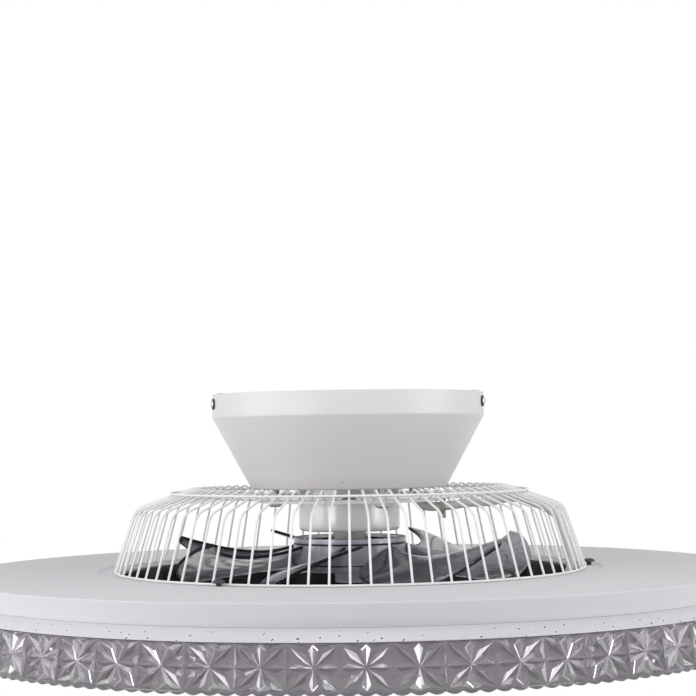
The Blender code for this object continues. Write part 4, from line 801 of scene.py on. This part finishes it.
# %% Impeller nut
NUT_RADIUS, SOCKET_ROOF = 0.0095, -0.1173
FLUTES, FLUTE_POWER, FLUTE_DEPTH = 6, 14, 0.0011
FLUTE_START, FLUTE_FADE = 0.006, 0.0035
_, nut_foot, nut_top = span("impeller_nut")
nut_profile = rounded([(0, SOCKET_ROOF, 0), (SHAFT_ROOM, SOCKET_ROOF, 0), (SHAFT_ROOM, nut_top, 0.0002),
                       (NUT_RADIUS, nut_top, 0.0005), (NUT_RADIUS, nut_foot, 0.0016), (0, nut_foot, 0)])


def fluted(angle, radius, level):
    """The radius draws in by a high power of a cosine with six peaks, on the outer wall only."""
    groove = np.abs(np.cos(angle * FLUTES / 2)) ** FLUTE_POWER * FLUTE_DEPTH
    return radius - groove * np.clip((radius - FLUTE_START) / FLUTE_FADE, 0, 1), level


place("fluted_nut", [turned("nut", dense(nut_profile, 0.0008), 120, False, fluted)], grey_abs,
      ["impeller_nut"], "rotor")

# %% [markdown]
# ## Light pan
# The light is built on a flat turned pan with a leaning fascia. A shallow recess round its hole takes
# the cage's foot and the duct's flange.

# %% Pan
FASCIA_RADIUS, DUCT_RADIUS, RECESS_RADIUS = 0.2406, 0.1430, 0.1560
SEAM, RECESS, PAN_SHEET, RIM_WALL = 0.00026, 0.0010, 0.0015, 0.0023
pan_radius, fascia_foot, pan_top = span("light_pan")
fascia_foot -= SEAM
recess_top = pan_top - RECESS
pan_outline = [(DUCT_RADIUS + SEAT, recess_top, 0.0003), (RECESS_RADIUS, recess_top, 0.0004),
               (RECESS_RADIUS + RECESS, pan_top, 0.0006), (pan_radius, pan_top, 0.0009),
               (FASCIA_RADIUS, fascia_foot, 0.0003), (FASCIA_RADIUS - PAN_SHEET, fascia_foot, 0.0002),
               (pan_radius - RIM_WALL, pan_top - PAN_SHEET, 0.001),
               (RECESS_RADIUS + RECESS + PAN_SHEET, pan_top - PAN_SHEET, 0),
               (RECESS_RADIUS + PAN_SHEET, recess_top - PAN_SHEET, 0),
               (DUCT_RADIUS + SEAT, recess_top - PAN_SHEET, 0.0003)]
place("pan_of_light", [turned("pan", rounded(pan_outline), 360)], matt_coat, ["light_pan"])

# %% [markdown]
# ## Air duct
# The middle of the light is open, and a dark glossy tube takes the air through it. It has a flange under
# the cage and a lip below that carries the tray and the grille.

# %% Duct
DUCT_WALL, LIP_OUT, LIP_IN = 0.0014, 0.0074, 0.0090
# Black ABS off a polished core: near black, with broad soft mirror images of the lamps.
dark_abs = coated("dark_glossy_abs", "#19191C", 0.13, 3, 0.05, 25, 0.8)
duct_reach, duct_foot, duct_top = span("air_duct")
lip_top, flange_foot = duct_foot + DUCT_WALL, duct_top - DUCT_WALL
duct_outline = [(duct_reach, duct_top, 0), (duct_reach, flange_foot, 0),
                (DUCT_RADIUS + DUCT_WALL, flange_foot, 0), (DUCT_RADIUS + DUCT_WALL, lip_top, 0),
                (DUCT_RADIUS + LIP_OUT, lip_top, 0.0002),
                (DUCT_RADIUS + LIP_OUT, duct_foot, 0.0004), (DUCT_RADIUS - LIP_IN, duct_foot, 0.0004),
                (DUCT_RADIUS - LIP_IN, lip_top, 0.0002), (DUCT_RADIUS, lip_top, 0.0004),
                (DUCT_RADIUS, duct_top, 0.0006)]
place("duct_wall", [turned("duct", rounded(duct_outline), 360)], dark_abs, ["air_duct"])

# %% [markdown]
# ## Opal tray
# Under the fascia an opal acrylic tray flares outwards. Opal acrylic scatters light below its skin, so
# its edges are soft. The band that shows has small dark strokes with a pale halo, all slanted one way.
# Each is one cell of a Voronoi pattern on the band's own UV: the cells are stretched and turned, bent by
# a fine noise, and coloured by the distance from their middle. A quarter of them are left out, a third
# are faint, and near the fascia all are.

# %% Flecked opal acrylic
FLECK_LENGTH_MM, FLECK_ROW_MM, FLECK_SLANT = 9.5, 3.8, -42
WOBBLE_MM, WOBBLE_GRAIN_MM, BAND_FACE_MM = 1.1, 1.1, 8.8
OPAL = "#D3D1D8"
opal, tree, shader = finish("opal_acrylic_flecked", OPAL, 0.22, Subsurface_Weight=0.15,
                            Subsurface_Scale=0.003)
uv = node(tree, "UVMap").outputs["UV"]
wobble = node(tree, "TexNoise", {"Vector": uv, "Scale": per_metre(WOBBLE_GRAIN_MM), "Detail": 1})
shifted = node(tree, "VectorMath", {0: wobble.outputs["Color"], 1: (WOBBLE_MM / 1000, WOBBLE_MM / 1000, 0)},
               operation="MULTIPLY")
bent = node(tree, "VectorMath", {0: uv, 1: shifted}, operation="ADD")
slim = node(tree, "Mapping", {"Vector": bent, "Rotation": (0, 0, math.radians(FLECK_SLANT)),
                              "Scale": (FLECK_LENGTH_MM / 1000, FLECK_ROW_MM / 1000, 1)},
            vector_type="TEXTURE")
cells = node(tree, "TexVoronoi", {"Vector": slim, "Scale": 1.0, "Randomness": 0.8}, voronoi_dimensions="2D")
luck = node(tree, "SeparateXYZ", {"Vector": cells.outputs["Color"]})
fade = node(tree, "MapRange", {"Value": luck, "From Min": 0.25, "From Max": 0.6})
down = node(tree, "SeparateXYZ", {"Vector": uv}).outputs["Y"]
sink = node(tree, "MapRange", {"Value": down, "From Min": 0.001, "From Max": 0.005, "To Min": 0.25})
fade = node(tree, "Math", {0: fade, 1: sink}, operation="MULTIPLY")
on_band = node(tree, "Math", {0: down, 1: BAND_FACE_MM / 1000}, operation="LESS_THAN")
fade = node(tree, "Math", {0: fade, 1: on_band}, operation="MULTIPLY")
ramp = node(tree, "ValToRGB", {"Fac": cells})
stops = [(0.0, "#2E2C30"), (0.085, "#4A484C"), (0.12, "#EFEDF2"), (0.2, OPAL)]
for index, (position, code) in enumerate(stops):
    stop = ramp.color_ramp.elements[index] if index < 2 else ramp.color_ramp.elements.new(position)
    stop.position = position
    stop.color = srgb(code)
mix = node(tree, "Mix", {0: fade, 6: srgb(OPAL), 7: ramp}, data_type="RGBA")
feed(shader, {"Base Color": mix.outputs[2]})

# %% Diffuser
BAND_HEIGHT, BAND_LAND, BAND_OVERHANG = 0.0066, 0.0005, 0.0081
TRAY_WALL, TRAY_GAP = 0.002, 0.0017
band_reach, tray_foot, band_top = span("diffuser")
band_foot = band_top - BAND_HEIGHT
tray_radius = band_reach - BAND_OVERHANG
tray_outline = [(FASCIA_RADIUS, band_top, 0), (band_reach, band_foot + BAND_LAND, 0.0002),
                (band_reach, band_foot, 0.0002), (tray_radius, band_foot, 0.0005),
                (tray_radius, tray_foot, 0.002), (DUCT_RADIUS + TRAY_GAP, tray_foot, 0.0006),
                (DUCT_RADIUS + TRAY_GAP, tray_foot + TRAY_WALL, 0),
                (tray_radius - TRAY_WALL, tray_foot + TRAY_WALL, 0.002),
                (tray_radius - TRAY_WALL, band_foot + TRAY_WALL, 0), (FASCIA_RADIUS - TRAY_WALL, band_top, 0)]
place("opal_tray", [turned("tray", rounded(tray_outline), 360)], opal, ["diffuser"])

# %% [markdown]
# ## Star-cut ring
# A clear moulded ring of sixty tiles. Each tile has a star of eight kites, raised like small roofs with
# bevelled edges, on deeper ground. One tile is a table of points (across, up, depth) and a table of
# triangles. The whole ring is that table bent round the flared face sixty times. Flat facets must stay
# flat, so nothing is smoothed.

# %% One tile of the ring
TILES, TILE_START = 60, 0.785
TIP, BEFORE, AFTER, BORDER, GROUND, INNER = 1, 9, 17, 25, 33, 41
MIDDLE_CUT, TIP_CUT, SIDE_CUT, BEVEL_RISE = 0.0007, 0.0001, 0.0020, 0.00015
TIP_SHARE, GROUND_SHARE = 0.95, 0.9
# The inner kite: where it starts, is widest and ends along the ridge, and how far it lies in.
INNER_SHARES, INNER_INSET = (0.1, 0.62, 0.93), 0.2


def both_halves(points):
    """Four points, and the same four after half a turn round the middle of the tile."""
    return np.array(points + [(-x, -y) for x, y in points], float)


def at_depth(points, depth):
    """Points of (across, up) with a depth below the ring's face."""
    return np.column_stack([points, np.full(len(points), depth)])


tips = both_halves([(1, 0), (0.95, 0.95), (0, 1), (-0.95, 0.95)])
before = both_halves([(0.64, -0.19), (0.60, 0.36), (0.20, 0.72), (-0.36, 0.62)])
after = both_halves([(0.64, 0.19), (0.36, 0.62), (-0.20, 0.72), (-0.60, 0.36)])
border = both_halves([(1, -1), (1, 0), (1, 1), (0, 1)])
ground = (tips + np.roll(tips, -1, 0)) / 2 * GROUND_SHARE
star = np.vstack([(0, 0, MIDDLE_CUT), at_depth(tips * TIP_SHARE, TIP_CUT), at_depth(before, SIDE_CUT),
                  at_depth(after, SIDE_CUT), at_depth(border, 0), at_depth(ground, SIDE_CUT)])
near, widest, far = [star[0] + share * (star[TIP:BEFORE] - star[0]) for share in INNER_SHARES]
left, right = [(1 - INNER_INSET) * star[side:side + 8] + INNER_INSET * widest for side in (BEFORE, AFTER)]
inner_kites = np.stack([near, left, far, right], 1).reshape(-1, 3) - [0, 0, BEVEL_RISE]
star = np.vstack([star, inner_kites])

# %% Facets of the tile
# For each kite: two facets inside, eight on the bevel and seven of ground on the way to the next kite.
facets = []
for k in range(8):
    n = (k + 1) % 8
    here, there = BORDER + n, BORDER + (k + 2) % 8
    pit = GROUND + k
    outer = (0, BEFORE + k, TIP + k, AFTER + k)
    inner = [INNER + 4 * k + j for j in range(4)]
    facets += [(inner[0], inner[1], inner[2]), (inner[0], inner[2], inner[3])]
    for j, m in ((0, 1), (1, 2), (2, 3), (3, 0)):
        facets += [(outer[j], outer[m], inner[m]), (outer[j], inner[m], inner[j])]
    facets += [(0, AFTER + k, BEFORE + n), (AFTER + k, pit, BEFORE + n), (AFTER + k, TIP + k, pit),
               (BEFORE + n, pit, TIP + n), (TIP + k, here, pit), (here, there, pit), (there, TIP + n, pit)]
CLEAR, FROSTED_SHADE, KITE, BEVEL = range(4)
facet_finishes = ([KITE] * 2 + [BEVEL] * 8 + [CLEAR] * 7) * 8
print("one tile has", len(star), "points and", len(facets), "facets")

# %% Tiles bent round the ring
LIP_DROP, BACK_GAP = 0.0022, 0.0006
ring_reach, lip_foot, ring_top = span("crystal_ring")
ring_foot = lip_foot + LIP_DROP
ring_height = ring_top - ring_foot
flare = ring_reach - band_reach


def tiled(name, tile_points, tile_faces, finishes):
    """The same table of points (across, up, depth), faces and numbers of finishes in every tile. The
    angle grows with across, the level with up, and the radius is that of the flare at this level less
    the depth."""
    half = np.pi / TILES
    middle = (TILE_START + np.arange(TILES) + 0.5) * 2 * half
    angle = middle[:, None] + tile_points[None, :, 0] * half
    share = 0.5 - tile_points[None, :, 1] / 2
    radius = band_reach + flare * np.minimum(share, 1) - tile_points[None, :, 2]
    height = ring_top - ring_height * share + angle * 0
    points = np.stack([radius * np.sin(angle), -radius * np.cos(angle), height], -1)
    faces = np.asarray(tile_faces)[None] + np.arange(TILES)[:, None, None] * len(tile_points)
    mesh = bpy.data.meshes.new(name)
    mesh.from_pydata(points.reshape(-1, 3).tolist(), [], faces.reshape(-1, faces.shape[-1]).tolist())
    mesh.polygons.foreach_set("material_index", np.tile(finishes, TILES).astype(np.int32))
    return mesh


# %% [markdown]
# ### Lip and back
# Below the tiles a thin lip ends in small scallops, three to a tile. Behind it the ring's wall goes down
# a little and up again. All of this is one more grid in the same tile coordinates, whose rows go from
# the face round the lip and up the back.

# %% Lip and back of the ring
SCALLOPS, SCALLOP_CELLS, SCALLOP_LEAST = 3, 8, 0.35
FROST_FOOT = 0.0012
cells_across = SCALLOPS * SCALLOP_CELLS
lip_x = np.linspace(-1, 1, cells_across + 1)
wave = np.abs(np.sin((lip_x + 1) / 2 * SCALLOPS * np.pi))
scallop = LIP_DROP * (SCALLOP_LEAST + (1 - SCALLOP_LEAST) * wave)


def lip_row(drop, depth):
    """A row of points from side to side, by its drop below the ring's foot and its depth."""
    up = -1 - 2 * np.broadcast_to(drop, lip_x.shape) / ring_height
    return np.stack([lip_x, up, np.full_like(lip_x, depth)], -1)


back_depth = ring_reach - tray_radius - BACK_GAP
frost_drop = ring_foot - tray_foot - FROST_FOOT
frost_depth = back_depth + flare * frost_drop / ring_height
lip_rows = [lip_row(0, 0), lip_row(0, 0.0008), lip_row(0.0005, 0.0010), lip_row(scallop, 0.0022),
            lip_row(scallop, back_depth), lip_row(frost_drop, frost_depth),
            lip_row(-ring_height, back_depth - flare), lip_row(-ring_height, 0)]
wide = cells_across + 1
first = (np.arange(len(lip_rows) - 1)[:, None] * wide + np.arange(cells_across)).reshape(-1, 1)
lip_faces = first + [0, 1, wide + 1, wide]

# %% [markdown]
# ### Greyish clear acrylic
# The ring is clear, but its thick body is greyish: light that crosses it twice loses nearly half, and at
# the sides, where it runs along the ring, facets go darker. In the real one light is thrown back inside
# the kites many times, which takes more bounces than are worth waiting for. So kites and their bevels
# have a small share of metal, which lights them as that would. The foot of the back is frosted, and
# its grey is painted shade.

# %% Greyish clear acrylic
RING_DENSITY, RING_TINT, ACRYLIC_IOR = 29, "#0C0A0C", 1.49
ring_body = (RING_TINT, RING_DENSITY)
clear_acrylic = tinted("clear_moulded_acrylic", *ring_body, 0.03, ACRYLIC_IOR, 5, 0.83, "#E9E4EA")
# Frosted, with a grey that is painted shade.
frosted_back_painted_shade = tinted("clear_acrylic_frosted_back_painted_shade", *ring_body, 0.5, ACRYLIC_IOR, 2, 0.2, "#B5B2B7")
kite_acrylic = tinted("clear_acrylic_kites", *ring_body, 0.06, ACRYLIC_IOR, 5, 0.86, "#E9E4EA", Metallic=0.13)
kite_edges = tinted("clear_acrylic_kite_edges", *ring_body, 0.14, ACRYLIC_IOR, 5, 0.9, "#F0ECF2",
                    Metallic=0.42)

# %% Ring of tiles
FACET_ANGLE = math.radians(4)
BACK_DEPTH = 0.0045
ring_mesh = joined("ring", [tiled("star_tiles", star, facets, facet_finishes),
                            tiled("lip", np.concatenate(lip_rows), lip_faces, [CLEAR] * len(lip_faces))])
ring_piece = place("star_cut_ring", [ring_mesh], clear_acrylic, ["crystal_ring"],
                   sharp=FACET_ANGLE)
finishes = np.empty(len(ring_piece.data.polygons), np.int32)
ring_piece.data.polygons.foreach_get("material_index", finishes)
face_radius, face_level = face_middles(ring_piece)
# The back's foot takes the frosted finish, whose grey is painted shade.
at_back = (face_radius < tray_radius + BACK_GAP + BACK_DEPTH) & (face_level < tray_foot + FROST_FOOT)
refinish(ring_piece, np.where(at_back, FROSTED_SHADE, finishes), frosted_back_painted_shade, kite_acrylic, kite_edges)

# %% [markdown]
# ## Bottom grille
# The guard in the duct's mouth is a flat moulding: three rings joined by two sets of bars. Rings are
# turned, and bars are slabs with soft edges that run a little into the rings.

# %% Bottom grille and cap
BAR, BAR_OVERLAP = 0.004, 0.001
GRILLE_RIM, GRILLE_MIDDLE, GRILLE_HEART = 0.1337, 0.0819, 0.026
SOFT_EDGE = 0.0006
_, *levels = span("bottom_grille")


def flat_ring(name, inner, outer):
    """A flat ring with soft edges between the grille's two levels."""
    corners = [(outer, levels[1]), (outer, levels[0]), (inner, levels[0]), (inner, levels[1])]
    return turned(name, rounded([(*corner, SOFT_EDGE) for corner in corners], cuts=4))


heart = rounded([(0, levels[1], 0), (GRILLE_HEART, levels[1], SOFT_EDGE),
                 (GRILLE_HEART, levels[0], SOFT_EDGE), (0, levels[0], 0)])
bar_sets = ((GRILLE_MIDDLE + BAR - BAR_OVERLAP, GRILLE_RIM + BAR_OVERLAP, 36),
            (GRILLE_HEART - BAR_OVERLAP, GRILLE_MIDDLE + BAR_OVERLAP, 24))
bars = [slabs("bars", (near, -BAR / 2), (far, BAR / 2), levels, 0.0004, SOFT_EDGE, evenly(count))
        for near, far, count in bar_sets]
grille_meshes = [flat_ring("rim", GRILLE_RIM, DUCT_RADIUS - SEAT),
                 flat_ring("middle", GRILLE_MIDDLE, GRILLE_MIDDLE + BAR),
                 turned("heart", heart, closed=False)]
place("moulded_grille", grille_meshes + bars, white_abs, ["bottom_grille"])
cap_radius, cap_foot, cap_top = span("grille_cap")
cap_profile = rounded([(0, cap_top, 0), (cap_radius, cap_top, 0.0002), (cap_radius, cap_foot, 0.0012),
                       (0, cap_foot, 0)])
place("moulded_cap", [turned("cap", cap_profile, closed=False)], white_abs, ["grille_cap"])

# %% [markdown]
# ## Stage
# The fan hangs on a ceiling that isn't shown, so the background is plain white for the camera and for
# rays through glass or off gloss. Two large soft boxes at the sides light the object, which is why the
# middle of the cone is its darkest part. Two fills in front lift the fascia and the collar, a lamp above
# lights the disc, and two high and two low ones at the sides reach the duct and the ring's facets.

# %% World and floor
WORLD_GREY = 0.37
FLOOR_LEVEL, FLOOR_HALF = -2.4, 3
world = bpy.data.worlds.new("world")
bpy.context.scene.world = world
world.use_nodes = True
tree = world.node_tree
tree.nodes.clear()
rays = node(tree, "LightPath").outputs
seen = node(tree, "Math", {0: rays["Is Camera Ray"], 1: rays["Is Glossy Ray"]}, operation="MAXIMUM")
seen = node(tree, "Math", {0: seen, 1: rays["Is Transmission Ray"]}, operation="MAXIMUM")
strength = node(tree, "MapRange", {"Value": seen, "To Min": WORLD_GREY, "To Max": 1.0})
sky = node(tree, "Background", {"Color": (1, 1, 1, 1), "Strength": strength})
node(tree, "OutputWorld", {"Surface": sky})

floor_edge = np.linspace(-FLOOR_HALF, FLOOR_HALF, 2)
floor_grid = np.stack(np.broadcast_arrays(floor_edge[:, None], floor_edge[None, :], FLOOR_LEVEL), -1)[None]
floor = put("floor", surface("floor", floor_grid))
floor_paint = coated("pale_floor_paint", "#E8E8E8", 0.8, 40, 0.5, 900)
floor.data.materials.append(floor_paint)
print("floor at", FLOOR_LEVEL)

# %% Lamps
# Place, size and power of square area lamps, all aimed at the middle of the fan.
AIM = Vector((0, 0, -0.08))
lamps = {"left_softbox": ((-1.74, -0.47, 0.13), 1.0, 11), "right_softbox": ((1.74, -0.47, 0.13), 1.0, 10.5),
         "left_front_fill": ((-1.15, -1.35, -0.12), 0.5, 6.2),
         "right_front_fill": ((1.5, -0.85, -0.10), 0.5, 2.6),
         "overhead_front": ((0.0, -0.62, 0.62), 0.4, 2.1)}
for side in (-1, 1):
    lamps[f"high_strip_{side}"] = ((side * 1.1, -0.65, 0.95), 0.4, 1.1)
    lamps[f"low_strip_{side}"] = ((side * 1.1, -0.65, -1.25), 0.4, 2.6)
for name, (lamp_place, size, power) in lamps.items():
    lamp = bpy.data.lights.new(name, "AREA")
    lamp.energy = power
    lamp.size = size
    aim = (AIM - Vector(lamp_place)).to_track_quat("-Z", "Y").to_matrix().to_4x4()
    put(name, lamp).matrix_world = Matrix.Translation(lamp_place) @ aim
print(len(lamps), "lamps")
